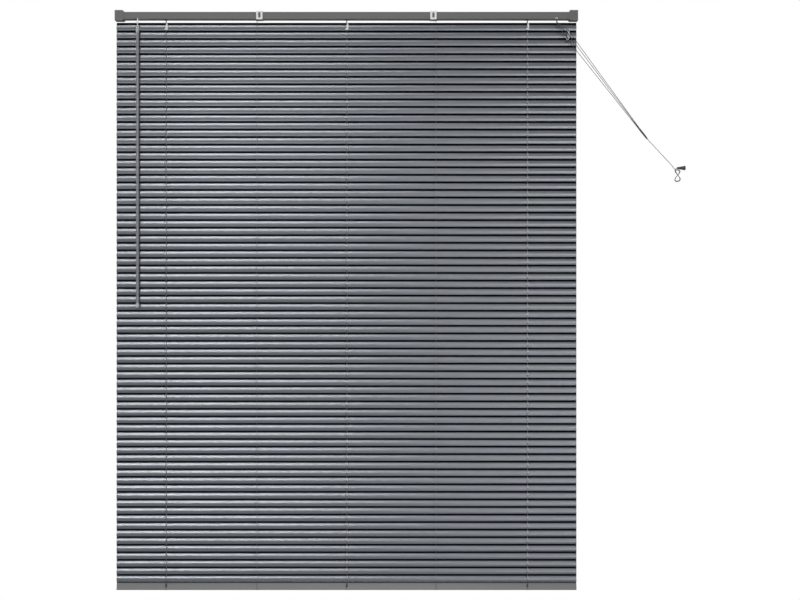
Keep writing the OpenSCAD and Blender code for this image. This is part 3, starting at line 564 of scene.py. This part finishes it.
def grid_faces(rows: int, columns: int) -> Array:
    """Joins up a grid of points whose rows close on themselves.

    Args:
        rows: Number of rows of points.
        columns: Number of points in a row.

    Returns:
        One row of four point numbers for each face: (i, j), (i, j+1), (i+1, j+1), (i+1, j).
    """
    i, j = np.arange(rows - 1)[:, None] * columns, np.arange(columns)[None, :]
    right = (j + 1) % columns
    corners = [i + j, i + right, i + columns + right, i + columns + j]
    return np.stack(corners, -1).reshape(-1, 4)


def open_edges(blocks: Sequence[Array], count: int) -> Array:
    """Finds the edges that have a face on one side only.

    The edge (a, b) gets the number a x count + b, and is open where no face has the edge (b, a).

    Args:
        blocks: Faces, in blocks by their number of corners.
        count: Number of points.

    Returns:
        One row of two point numbers for each such edge, in the order of its face.
    """
    edges = np.concatenate([
        block[:, [k, (k + 1) % block.shape[1]]] for block in blocks for k in range(block.shape[1])
    ])
    numbers, turned = edges @ [count, 1], edges @ [1, count]
    return edges[~np.isin(turned, numbers)]


def curve_through(points: Array, step: float, most: int = 6) -> Array:
    """A smooth curve through points, by Hermite pieces whose tangents run between the neighbours.

    Args:
        points: The points, in order.
        step: Distance between samples.
        most: Largest number of samples on one piece.

    Returns:
        The sampled curve, with both ends.
    """
    p = np.concatenate([[2 * points[0] - points[1]], points, [2 * points[-1] - points[-2]]])
    gaps = np.linalg.norm(np.diff(points, axis=0), axis=1)
    counts = np.clip(np.ceil(gaps / step), 1, most).astype(int)
    k = np.repeat(np.arange(len(gaps)), counts)
    start = np.repeat(np.cumsum(counts) - counts, counts)
    u = ((np.arange(len(k)) - start) / counts[k])[:, None]
    a, b, c, d = p[k], p[k + 1], p[k + 2], p[k + 3]
    pull = np.minimum(1.0, gaps[k] / np.maximum(np.linalg.norm(c - a, axis=1), 1e-9))[:, None]
    hold = np.minimum(1.0, gaps[k] / np.maximum(np.linalg.norm(d - b, axis=1), 1e-9))[:, None]
    h = (2 * u**3 - 3 * u**2 + 1) * b + (3 * u**2 - 2 * u**3) * c
    h += (u**3 - 2 * u**2 + u) * pull * (c - a) + (u**3 - u**2) * hold * (d - b)
    return np.concatenate([h, points[-1:]])


# Directions for a tube's rings to start from, well apart.
WAYS = np.array([
    [1, 0, 0], [0, 1, 0], [0, 0, 1], [1, 1, 1], [1, -1, 1], [1, 1, -1], [-1, 1, 1], [1, 2, -3],
    [3, -1, 2],
], float)
WAYS /= np.linalg.norm(WAYS, axis=1, keepdims=True)


def tube(path: Array, radius: float, sides: int = 8) -> Shape:
    """A round tube: the point at angle a of ring k is path[k] + radius (cos a side + sin a up).

    Side and up are square to the path, taken from the one fixed direction that it least runs along.

    Args:
        path: Points of the centreline.
        radius: The tube's radius.
        sides: Number of sides.

    Returns:
        The tube with flat ends, and its run in metres and turn from 0 to 1.
    """
    heading = np.gradient(path, axis=0)
    heading /= np.linalg.norm(heading, axis=1, keepdims=True)
    way = WAYS[np.abs(heading @ WAYS.T).max(0).argmin()]
    side = np.cross(heading, way)
    side /= np.linalg.norm(side, axis=1, keepdims=True)
    up = np.cross(heading, side)
    angle = (np.arange(sides) * 2 * np.pi / sides)[None, :, None]
    rings = path[:, None] + radius * (np.cos(angle) * side[:, None] + np.sin(angle) * up[:, None])
    run = np.concatenate([[0], np.cumsum(np.linalg.norm(np.diff(path, axis=0), axis=1))])
    ends = [np.arange(sides)[None, ::-1], np.arange(sides)[None] + (len(path) - 1) * sides]
    return Shape(
        rings.reshape(-1, 3),
        [grid_faces(len(path), sides), *ends],
        np.repeat(run, sides),
        np.tile(np.arange(sides) / sides, len(path)),
    )


# ---- the studio


@dataclass(frozen=True)
class Lamp:
    """An area lamp aimed at one place on the blind."""

    name: str
    place: Triple
    aim: Triple
    size: Pair
    power: float
    spread: float

    def light(self) -> None:
        """Adds the lamp, turned so that its width stays level."""
        data = bpy.data.lights.new(self.name, "AREA")
        data.shape = "RECTANGLE"
        data.size, data.size_y = self.size
        data.energy = self.power
        data.spread = math.radians(self.spread)
        made = bpy.data.objects.new(self.name, data)
        made.location = self.place
        x, y, z = np.array(self.aim) - np.array(self.place)
        made.rotation_euler = (math.atan2(math.hypot(x, y), -z), 0, math.atan2(y, x) - math.pi / 2)
        bpy.context.scene.collection.objects.link(made)


@dataclass
class Studio:
    """Camera, lamps, pale floor and white surroundings.

    The lamps on the left stand in a high fan, each aimed at its own band of slats, so that every
    slat mirrors its lamp at the same height of its crown. Those on the right are a lower fan, and
    two small lamps light the lips of the top slats alone. All stand in one plane, at lamp_y.
    """

    eye: Triple = (0.162, -4.331, -0.8608)
    lens: float = 64.08
    view_depth: float = 60.0
    floor_z: float = -2.3
    floor_half: float = 0.9
    floor_greys: Pair = (0.84, 0.88)
    ambient: float = 1.75
    ambient_low: float = 0.02
    ambient_band: Pair = (-0.15, 0.45)
    lamp_y: float = -5.8
    key_aims: tuple[float, ...] = (-0.1, -0.36, -0.62, -0.88, -1.14, -1.4, -1.66)
    key_rise: Pair = (43.0, 15.0)
    key_columns: tuple[Triple, ...] = ((-0.55, 11.0, 0.17), (-0.02, 4.5, 0.1))
    key_size: Pair = (2.0, 0.6)
    key_spread: float = 6.5
    low_band: Pair = (-1.7, -1.1)
    low_gain: float = 1.35
    fill_fan: tuple[tuple[float, float, float, float], ...] = (
        (0.7, 1.12, -0.2, 3.2), (1.3, 0.37, -0.87, 1.8), (1.3, -1.4, -1.55, 1.8),
    )
    fill_across: float = -0.95
    fill_height: float = 0.9
    fill_glow: float = 0.29
    fill_spread: float = 20.0
    lip_fan: tuple[Pair, ...] = ((-1.55, 0.95), (-0.65, 0.5))
    lip_z: float = 0.55
    lip_aim_z: float = -0.1
    lip_size: Pair = (0.9, 0.9)
    lip_power: float = 0.045
    lip_spread: float = 8.0

    def camera(self) -> None:
        """Sets the camera level, square to the wall, at the photograph's distance."""
        data = bpy.data.cameras.new("camera")
        data.lens = self.lens
        data.clip_end = self.view_depth
        made = bpy.data.objects.new("camera", data)
        made.location = self.eye
        made.rotation_euler = (math.pi / 2, 0, 0)
        bpy.context.scene.collection.objects.link(made)
        bpy.context.scene.camera = made

    def surroundings(self) -> None:
        """Makes the world white where it is seen or mirrored, with soft light from above."""
        world = bpy.data.worlds.new("surroundings")
        world.use_nodes = True
        bpy.context.scene.world = world
        graph = Graph(world.node_tree)
        seen, mirrored, through = (
            graph.node("ShaderNodeLightPath", {}, {}, f"Is {kind} Ray")
            for kind in ("Camera", "Glossy", "Transmission")
        )
        toward = graph.node("ShaderNodeTexCoord", {}, {}, "Generated")
        height = graph.node("ShaderNodeSeparateXYZ", {}, {0: toward}, "Z")
        level = height.spread(*self.ambient_band, self.ambient_low, self.ambient)
        soft = graph.node("ShaderNodeBackground", {}, {"Strength": level})
        plain = {"Color": (1.0, 1.0, 1.0, 1.0), "Strength": 1.0}
        white = graph.node("ShaderNodeBackground", {}, plain)
        terms = {0: seen.larger(mirrored).larger(through), 1: soft, 2: white}
        graph.close("ShaderNodeOutputWorld", graph.node("ShaderNodeMixShader", {}, terms))

    def floor(self) -> None:
        """Lays the pale floor under the blind, out of the camera's view."""
        h = self.floor_half
        points = np.array([[-h, -h, 0], [h, -h, 0], [h, h, 0], [-h, h, 0]]) + [0, 0, self.floor_z]
        mesh = bpy.data.meshes.new("floor")
        mesh.from_pydata(points.tolist(), [], [(0, 1, 2, 3)])
        shade = Shade("pale_floor")
        dark, light = ((level,) * 3 for level in self.floor_greys)
        colour = shade.tint(shade.noise(shade.place(), 3.0), dark, light)
        mesh.materials.append(shade.finish({"Base Color": colour, "Roughness": 0.7}))
        made = bpy.data.objects.new("floor", mesh)
        bpy.context.scene.collection.objects.link(made)

    def key_lamps(self) -> list[Lamp]:
        """Places the high fan on the left, in columns of one lamp for each height in key_aims.

        A lamp aimed at height z stands so that its beam falls at an angle that runs evenly from the
        first of key_rise at the top slat to the second at the bottom one. A column is where it
        aims, its turn to the side in degrees, and its power, which grows to low_gain in low_band.

        Returns:
            The lamps.
        """
        band = (self.key_aims[-1], self.key_aims[0])
        made = []
        for column, (x, turn, power) in enumerate(self.key_columns, 1):
            for k, z in enumerate(self.key_aims, 1):
                rise = math.radians(float(np.interp(z, band, self.key_rise[::-1])))
                gain = float(np.interp(z, self.low_band, (self.low_gain, 1.0)))
                side = x + self.lamp_y * math.tan(math.radians(turn))
                place = (side, self.lamp_y, z - self.lamp_y * math.tan(rise))
                lamp = (place, (x, 0.0, z), self.key_size, power * gain, self.key_spread)
                made.append(Lamp(f"key_{column}_{k}", *lamp))
        return made

    def small_lamps(self) -> list[Lamp]:
        """Places the fan on the right and the lamps of the lips.

        A fill lamp is its x, its height, its aim's height and its width. A lip lamp is its x and
        how far across it aims.

        Returns:
            The lamps.
        """
        made = []
        for k, (x, z, aim, width) in enumerate(self.fill_fan, 1):
            place, target = (x, self.lamp_y, z), (x + self.fill_across, 0.0, aim)
            size, power = (width, self.fill_height), self.fill_glow * width
            made.append(Lamp(f"fill_{k}", place, target, size, power, self.fill_spread))
        for k, (x, across) in enumerate(self.lip_fan, 1):
            place, target = (x, self.lamp_y, self.lip_z), (x + across, 0.0, self.lip_aim_z)
            lamp = (place, target, self.lip_size, self.lip_power, self.lip_spread)
            made.append(Lamp(f"lip_{k}", *lamp))
        return made

    def build(self) -> None:
        """Sets up everything that isn't the object."""
        bpy.context.scene.view_settings.view_transform = "Standard"
        self.camera()
        self.surroundings()
        self.floor()
        for lamp in self.key_lamps() + self.small_lamps():
            lamp.light()


# ---- the blind


@dataclass(frozen=True)
class PullCord:
    """The way of one pull cord.

    It starts at `start` from the outlet's middle, in x and z, goes through `way`, whose x is from
    the outlet and whose y and z are the frame's, and ends in its own lane at the joiner.
    """

    name: str
    start: Pair
    lane: int
    way: tuple[Triple, ...]
    fittings: tuple[str, ...] = ("cord_joiner",)


@dataclass
class FreeCords:
    """Three pull cords from the lock to the joiner, and the single cord round the cleat."""

    diameter: float = 1.7 * MM
    outlet: Triple = (635.0, -29.6, -10.4)
    cleat: Triple = (1002.0, 0.0, -483.0)
    joiner: Triple = (-116.6, -22.0, 141.0)
    lane_step: Triple = (1.16, 0.0, 0.93)
    pulls: tuple[PullCord, ...] = (
        PullCord("pull_cord_1", (0.0, 0.8), 1, (
            (0.5, -32.2, -14.0), (0.9, -32.6, -20.0), (3.4, -33.0, -24.4),
            (32.2, -36.0, -44.6), (35.3, -34.0, -47.5), (39.2, -31.6, -52.2),
        ), ("cord_joiner", "cord_spreader")),
        PullCord("pull_cord_2", (0.75, -0.5), 0, (
            (0.9, -32.2, -15.0), (1.4, -32.8, -21.6), (4.0, -33.2, -27.4),
            (32.8, -36.0, -57.0), (35.9, -34.0, -60.5), (39.4, -31.6, -65.0),
        )),
        PullCord("pull_cord_3", (-0.75, -0.5), -1, (
            (-0.6, -32.2, -14.6), (-0.4, -33.0, -22.6), (1.6, -33.4, -29.0),
            (29.6, -36.0, -68.6), (32.5, -34.0, -72.6), (35.8, -31.6, -77.4),
        )),
    )
    to_cleat: tuple[Triple, ...] = (
        (-90.6, -20.4, 108.6), (-54.0, -19.0, 69.5), (-16.0, -15.0, 29.6), (-8.5, -13.0, 20.4),
    )
    to_tassel: tuple[Triple, ...] = (
        (-5.5, -29.0, 7.0), (-7.0, -26.4, 14.0), (-6.0, -24.6, 19.6), (-2.6, -24.4, 21.2),
    )
    eight_x: float = 6.2
    eight_z: float = 16.2
    eight_start: float = 108.0
    eight_turned: float = 612.0
    eight_step: float = 12.0
    turn_gap: float = 1.6
    behind_horn: float = 8.8
    before_horn: float = 12.6
    pull_sample: float = 1.2
    single_sample: float = 5.0
    finish: Braid = Braid("pull_cord_braid", (0.03, 0.031, 0.034))
    dark_finish: Braid = Braid("cleat_cord_braid", (0.02, 0.021, 0.023))

    def eight(self, turned: Array) -> Array:
        """Winds the figure of eight round the cleat, each turn outside and in front of the last.

        With a = start - turned in degrees, x is eight_x sin 2a and z is eight_z sin a, both grown
        by turn_gap a turn. The depth is behind_horn + before_horn |cos a|: it crosses in front.

        Args:
            turned: How far each point is round, in degrees.

        Returns:
            The points.
        """
        a, grown = np.radians(self.eight_start - turned), self.turn_gap * turned / 360
        x = (self.eight_x + grown) * np.sin(2 * a)
        y = -(self.behind_horn + (self.before_horn + 2 * grown) * np.abs(np.cos(a)))
        return np.array(self.cleat) + np.stack([x, y, (self.eight_z + grown) * np.sin(a)], -1)

    def build(self) -> None:
        cleat, outlet = np.array(self.cleat), np.array(self.outlet)
        joiner, step = cleat + self.joiner, np.array(self.lane_step)
        for cord in self.pulls:
            start = outlet + [cord.start[0], 0.0, cord.start[1]]
            through = np.array(cord.way) + [outlet[0], 0.0, 0.0]
            points = np.concatenate([[start], through, [joiner + cord.lane * step]])
            path = curve_through(points * MM, self.pull_sample * MM)
            self.declare(cord.name, path, self.finish, Slot.GREY_CORD)
        turned = np.arange(0.0, self.eight_turned + 1, self.eight_step)
        single = np.concatenate([cleat + self.to_cleat, self.eight(turned), cleat + self.to_tassel])
        path = curve_through(single * MM, self.single_sample * MM, 4)
        self.declare("pull_cord_single", path, self.dark_finish, Slot.DARK_CORD)

    def declare(
        self, name: str, path: Array, finish: Braid, slot: Slot
    ) -> None:
        """Builds one cord and hides the node that it replaces.

        Args:
            name: The node that it replaces.
            path: Its centreline.
            finish: Its braid.
            slot: The record's material slot.
        """
        shape = tube(path, self.diameter / 2)
        made = shape.piece(name + "_braided", Body.BLIND, slot, finish.material())
        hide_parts(name)


@dataclass
class Slats:
    """The crowned strips, closed with their front edges down."""

    count: int = 74
    pitch: float = 22.86
    first_z: float = -32.4287
    centre_y: float = -15.7
    half_width: float = 12.5
    thickness: float = 0.2
    crown: float = 2.0
    tilt: float = 76.0
    half_length: float = 696.5
    rout_x: Triple = (-546.2, 0.8, 547.8)
    rout_half: float = 4.0
    rout_width: float = 4.0
    crown_rows: tuple[float, ...] = (5.2, 6.4, 8.4, 10.6)
    finish: Lacquer = Lacquer(
        "slat_lacquer_painted_lap_shadow", (0.046, 0.0488, 0.0568), roughness=0.22, gloss=1.0,
        gloss_colour=(0.875, 0.93, 1.0), patch=0.03, peel=0.000001, wander=0.006,
        # The top strip of each slat's front is painted near black: a painted shadow of the slat
        # above.
        lap=(7.0 * MM, 10.1 * MM),
    )

    @property
    def shoulder(self) -> float:
        """Where a rout's straight side ends, across the slat."""
        return self.rout_half - self.rout_width / 4

    @property
    def heights(self) -> Array:
        """The heights of the slats' middles, from the first down."""
        return self.first_z - self.pitch * np.arange(self.count)

    def rows(self) -> Array:
        """Returns the places across the slat, with rows at the ends and shoulders of the routs."""
        half = np.array([0.0, self.shoulder, self.rout_half, *self.crown_rows, self.half_width])
        return np.concatenate([-half[:0:-1], half])

    def columns(self) -> Array:
        """Lays out the places along the slat, with four columns at each rout.

        Returns:
            The places.
        """
        w = self.rout_width / 2
        routs = np.concatenate([[x - w, x - w / 2, x + w / 2, x + w] for x in self.rout_x])
        return np.concatenate([[-self.half_length], routs, [self.half_length]])

    def skin(self) -> tuple[Array, Array]:
        """Joins up one skin of a strip, as a grid of the rows and columns.

        The cells inside the routs are left out, and of a rout's corner cells only the half that
        lies away from the rout's middle stays.

        Returns:
            The four-sided faces, and the triangles of the corners.
        """
        t, x = self.rows(), self.columns()
        i, j = np.meshgrid(np.arange(len(t) - 1), np.arange(len(x) - 1), indexing="ij")
        across, along = (t[i] + t[i + 1]) / 2, (x[j] + x[j + 1]) / 2
        gaps = along[..., None] - np.array(self.rout_x)
        nearest = np.take_along_axis(gaps, np.abs(gaps).argmin(-1)[..., None], -1)[..., 0]
        off, out, half = np.abs(nearest), np.abs(across), self.rout_width / 2
        inner = (off < half / 2) & (out < self.rout_half)
        outer = (off < half) & (out < self.shoulder)
        corner = (off < half) & (off > half / 2) & (out > self.shoulder) & (out < self.rout_half)
        a = i * len(x) + j
        b, c, d = a + len(x), a + len(x) + 1, a + 1
        before, above = (nearest < 0)[..., None], (across < 0)[..., None]
        cut = np.select(
            [before & above, before & ~above, ~before & above],
            [np.stack(three, -1) for three in ((a, b, d), (a, b, c), (a, c, d))],
            np.stack((b, c, d), -1),
        )
        return np.stack([a, b, c, d], -1)[~(inner | outer | corner)], cut[corner]

    def strip(self) -> Shape:
        """One slat about its own middle, level.

        The middle surface is z = crown (1 - t^2 / half_width^2) over the place t across it, and
        the two skins lie half a thickness above and below, joined along every open edge. The run
        is the distance from the upper edge on the front skin, and the whole width on the back one,
        where no painted lap shadow darkens it.

        Returns:
            The strip.
        """
        t, x = self.rows(), self.columns()
        across, along = np.repeat(t, len(x)), np.tile(x, len(t))
        middle = self.crown * (1 - (across / self.half_width) ** 2)
        offsets = (self.thickness / 2, -self.thickness / 2)
        points = np.concatenate([np.stack([along, -across, middle + up], -1) for up in offsets])
        n = len(across)
        quads, corners = self.skin()
        rim = open_edges([quads, corners], n)
        walls = np.stack([rim[:, 1], rim[:, 0], rim[:, 0] + n, rim[:, 1] + n], -1)
        run = np.concatenate([across + self.half_width, np.full(n, 2 * self.half_width)]) * MM
        faces = [quads, corners, quads[:, ::-1] + n, corners[:, ::-1] + n, walls]
        return Shape(points, faces, run, np.zeros(2 * n)).trimmed()

    def build(self) -> None:
        """Builds the pack: each slat is the strip turned by the tilt and moved to its height."""
        c, s = math.cos(math.radians(self.tilt)), math.sin(math.radians(self.tilt))
        strip = self.strip()
        strip.points = strip.points @ np.array([[1, 0, 0], [0, c, -s], [0, s, c]]).T
        still = np.zeros(self.count)
        pack = strip.repeated(np.stack([still, still + self.centre_y, self.heights], -1))
        pack.points *= MM
        made = pack.piece("slat_pack", Body.BLIND, Slot.SLAT_ALUMINIUM, self.finish.material())
        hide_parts("slats")


@dataclass
class Ladders:
    """The five ladders: two cords each, with a rung under every slat.

    Places in the bottom rail's own section are t across it, from its upper to its lower edge, and n
    out of its face. A bend is the t and n of its middle and the rail's radius there.
    """

    stations: tuple[float, ...] = (-547.0, -271.312, 0.0, 271.312, 547.0)
    cord_radius: float = 0.5
    rung_radius: float = 0.4
    cord_y: float = 3.748
    rung_n: float = -0.55
    drum_y: float = 5.8
    rod_z: float = 1.0
    join_z: float = -17.43
    bottom_y: float = -11.69
    bottom_z: float = -1727.61
    lower_bend: Triple = (9.5, 2.0, 3.0)
    under_bend: Triple = (11.0, -3.5, 1.5)
    upper_bend: Triple = (-11.0, -3.5, 1.5)
    tuck: Pair = (8.0, -5.0)
    sunk: float = 0.06
    leave: float = 12.6
    finish: Braid = Braid("ladder_braid", (0.035, 0.037, 0.042), stitch=0.9 * MM)

    @property
    def lie(self) -> float:
        """How far a cord's middle lies from the rail, a little sunk into it."""
        return self.cord_radius - self.sunk

    def at_bottom(self, t: Array, n: Array, tilt: float) -> Array:
        """Moves places from the bottom rail's own section to the frame.

        Args:
            t: Places across the rail.
            n: Places out of its face.
            tilt: The rail's tilt, in radians.

        Returns:
            The places in (y, z).
        """
        y = self.bottom_y - t * math.cos(tilt) - n * math.sin(tilt)
        z = self.bottom_z - t * math.sin(tilt) + n * math.cos(tilt)
        return np.stack([y, z], -1)

    def round_bend(self, bend: Triple, start: float, end: float, count: int, tilt: float) -> Array:
        """Lays a cord round a bend: at angle a it is bend + (radius + lie) (cos a, sin a).

        Args:
            bend: The bend.
            start: The first angle, in degrees.
            end: The last angle.
            count: Number of points.
            tilt: The rail's tilt, in radians.

        Returns:
            The points in (y, z).
        """
        a = np.radians(np.linspace(start, end, count))
        t, n, radius = bend
        reach = radius + self.lie
        return self.at_bottom(t + reach * np.cos(a), n + reach * np.sin(a), tilt)

    def front_path(self, slats: Slats) -> Array:
        """Lays the front cord: from the drum, down the front, and round the rail's lower edge.

        Args:
            slats: The slats that it runs before.

        Returns:
            Its points in (y, z).
        """
        tilt = math.radians(slats.tilt)
        y = slats.centre_y
        t, n = self.tuck
        return np.concatenate([
            [[y - self.drum_y, self.rod_z], [y - self.cord_y, self.join_z]],
            self.round_bend(self.lower_bend, slats.tilt, 0, 7, tilt),
            self.round_bend(self.under_bend, 0, -90, 6, tilt),
            self.at_bottom(np.array([t]), np.array([n - self.lie]), tilt),
        ])

    def back_path(self, slats: Slats) -> Array:
        """Lays the back cord: from the drum, down the back, and over the rail's upper edge.

        Args:
            slats: The slats that it runs behind.

        Returns:
            Its points in (y, z).
        """
        tilt = math.radians(slats.tilt)
        back = slats.centre_y + self.cord_y
        last = slats.first_z - (slats.count - 1) * slats.pitch + self.leave
        t, n = self.tuck
        return np.concatenate([
            [[slats.centre_y + self.drum_y, self.rod_z], [back, self.join_z], [back, last]],
            self.round_bend(self.upper_bend, -117, -90, 3, tilt),
            self.at_bottom(np.array([-t]), np.array([n - self.lie]), tilt),
        ])

    def rungs(self, slats: Slats, x: float) -> Shape:
        """The rungs of one ladder: straight along each slat's chord, from cord to cord.

        Args:
            slats: The slats that lie on them.
            x: The ladder's station.

        Returns:
            All rungs as one shape, in metres.
        """
        c, s = math.cos(math.radians(slats.tilt)), math.sin(math.radians(slats.tilt))
        ends = (np.array([self.cord_y, -self.cord_y]) - self.rung_n * s) / c
        y = slats.centre_y - ends * c - self.rung_n * s
        z = -ends * s + self.rung_n * c
        bar = tube(np.stack([np.full(2, x), y, z], -1) * MM, self.rung_radius * MM, 6)
        still = np.zeros(slats.count)
        return bar.repeated(np.stack([still, still, slats.heights * MM], -1))

    def build(self, slats: Slats) -> None:
        """Builds the five ladders.

        Args:
            slats: The slats that lie on them.
        """
        material = self.finish.material()
        for k, x in enumerate(self.stations, 1):
            cords = []
            for path in (self.front_path(slats), self.back_path(slats)):
                line = np.concatenate([np.full((len(path), 1), x), path], 1) * MM
                cords.append(tube(line, self.cord_radius * MM))
            ladder = Shape.joined([*cords, self.rungs(slats, x)])
            made = ladder.piece(f"ladder_{k}_braid", Body.BLIND, Slot.GREY_CORD, material)
            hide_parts(f"ladder_{k}")


@dataclass
class LiftCords:
    """The three cords that lift the bottom rail and leave through the lock.

    The knot's points are in y and z from the bottom rail's middle, and the turn's points lead the
    cord into its lane in the head rail.
    """

    names: tuple[str, ...] = ("lift_cord_left", "lift_cord_centre", "lift_cord_right")
    radius: float = 0.7
    stations: Triple = (-547.0, 0.0, 547.0)
    side: float = 1.6
    lift_y: float = -17.2
    bottom_y: float = -11.69
    bottom_z: float = -1727.61
    knot: tuple[Pair, Pair] = ((-1.0, -3.0), (-3.4, 0.6))
    rise: float = 9.0
    rail_bottom: float = -12.6
    under_rail: float = 0.6
    turn: tuple[Triple, Triple] = ((1.8, -0.8, -0.3), (6.0, -2.2, 0.0))
    lane_z: float = -9.2
    lane_y: float = -25.2
    lane_step: float = 1.8
    lane_in: float = 24.0
    lane_out: float = 14.0
    pulley: Pair = (627.0, -6.7)
    wrap: float = 4.6
    wrap_angles: Pair = (115.0, -5.0)
    outlet: Pair = (635.0, -10.4)
    outlet_y: Pair = (-26.2, -29.6)
    exits: tuple[Pair, ...] = ((-0.75, -0.5), (0.75, -0.5), (0.0, 0.8))
    finish: Braid = Braid("lift_cord_braid", (0.1, 0.103, 0.11))

    def route(self, k: int) -> Array:
        """Lays out one cord: up the slats, along its lane, over the pulley and into the outlet.

        Args:
            k: The cord's number, from the left.

        Returns:
            Its points.
        """
        x, lane = self.stations[k] + self.side, self.lane_y + k * self.lane_step
        way_out = [middle + off for middle, off in zip(self.outlet, self.exits[k])]
        over = np.radians(np.linspace(*self.wrap_angles, 5))
        (px, pz), reach = self.pulley, self.wrap
        return np.concatenate([
            [[x, self.bottom_y + y, self.bottom_z + z] for y, z in self.knot],
            [[x, self.lift_y, self.bottom_z + self.rise]],
            [[x, self.lift_y, self.rail_bottom - self.under_rail]],
            [[x + dx, self.lift_y + dy, self.lane_z + dz] for dx, dy, dz in self.turn],
            [[x + self.lane_in, lane, self.lane_z], [px - self.lane_out, lane, self.lane_z]],
            np.stack([px + reach * np.cos(over), 0 * over + lane, pz + reach * np.sin(over)], -1),
            [[way_out[0], y, way_out[1]] for y in self.outlet_y],
        ])

    def build(self) -> None:
        """Builds the three cords."""
        material = self.finish.material()
        for k, name in enumerate(self.names):
            shape = tube(self.route(k) * MM, self.radius * MM)
            made = shape.piece(name + "_braided", Body.BLIND, Slot.GREY_CORD, material)
            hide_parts(name)


@dataclass
class Dressing:
    """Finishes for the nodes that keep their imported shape."""

    rail: Lacquer = Lacquer("rail_enamel", (0.185, 0.186, 0.187), roughness=0.5, gloss=0.06)
    low_rail: Lacquer = Lacquer(
        "bottom_rail_enamel_painted_shadow", (0.185, 0.186, 0.187), roughness=0.5, gloss=0.06,
        # A thin band along the rail's top is painted dark: a painted shadow under the last slat.
        lap_height=(-1.719, -1.7172),
    )
    white: Lacquer = Lacquer("clip_enamel", (0.8, 0.8, 0.79), roughness=0.3)
    white_plastic: Moulding = Moulding("white_moulding", (0.78, 0.78, 0.76), roughness=0.4)
    grey_plastic: Moulding = Moulding("grey_moulding", (0.05, 0.052, 0.055))
    dark_plastic: Moulding = Moulding("dark_moulding", (0.03, 0.031, 0.034), roughness=0.4)
    cream_plastic: Moulding = Moulding("cream_moulding", (0.97, 0.96, 0.86), roughness=0.3)
    clear: ClearMoulding = ClearMoulding("clear_moulding", (0.86, 0.88, 0.88))
    smoky: ClearMoulding = ClearMoulding(
        "smoky_moulding", (0.045, 0.047, 0.05), clarity=0.3, roughness=0.05
    )
    glassy: ClearMoulding = ClearMoulding(
        "glassy_moulding", (0.9, 0.91, 0.92), clarity=0.9, roughness=0.02, alpha=0.16
    )
    wand: ClearMoulding = ClearMoulding(
        "wand_plastic", (0.27, 0.285, 0.32), clarity=0.3, roughness=0.2
    )
    rod: DrawnSteel = DrawnSteel("drawn_rod", (0.02, 1.0, 1.0))
    wire: DrawnSteel = DrawnSteel("plated_wire", (1.0, 1.0, 0.1))

    def by_slot(self) -> dict[Slot, bpy.types.Material]:
        """Makes the finish of each of the record's slots.

        Returns:
            The materials by slot.
        """
        finishes = {
            Slot.PAINTED_STEEL: self.rail,
            Slot.WHITE_STEEL: self.white,
            Slot.WHITE_PLASTIC: self.white_plastic,
            Slot.GREY_PLASTIC: self.grey_plastic,
            Slot.DARK_PLASTIC: self.dark_plastic,
            Slot.CREAM_PLASTIC: self.cream_plastic,
            Slot.CLEAR_PLASTIC: self.clear,
            Slot.WAND_PLASTIC: self.wand,
            Slot.BARE_STEEL: self.wire,
        }
        return {slot: finish.material() for slot, finish in finishes.items()}

    def by_node(self) -> dict[str, bpy.types.Material]:
        """Makes the finishes of nodes that differ from the rest of their slot.

        Returns:
            The materials by node.
        """
        finishes = {
            "tilt_rod": self.rod,
            "cord_spreader": self.smoky,
            "cleat": self.glassy,
            "bottom_rail": self.low_rail,
        }
        return {name: finish.material() for name, finish in finishes.items()}

    def build(self) -> None:
        """Puts the finishes on the nodes that are still shown."""
        slots = {part["node"]: part["material_slot"] for part in frame["record"]["subparts"]}
        shared, own = self.by_slot(), self.by_node()
        for name, node in frame["nodes"].items():
            if node.hide_render:
                continue
            material = own[name] if name in own else shared[Slot(slots[name])]
            node.data.materials.clear()
            node.data.materials.append(material)
            log.info("%s: %s", name, material.name)


def main() -> None:
    """Builds the scene in order: studio, cords, then the blind from the slats out."""
    logging.basicConfig(level=logging.INFO, format="%(name)s %(message)s")
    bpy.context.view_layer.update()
    Studio().build()
    FreeCords().build()
    slats = Slats()
    slats.build()
    Ladders().build(slats)
    LiftCords().build()
    Dressing().build()


if __name__ == "__main__":
    main()
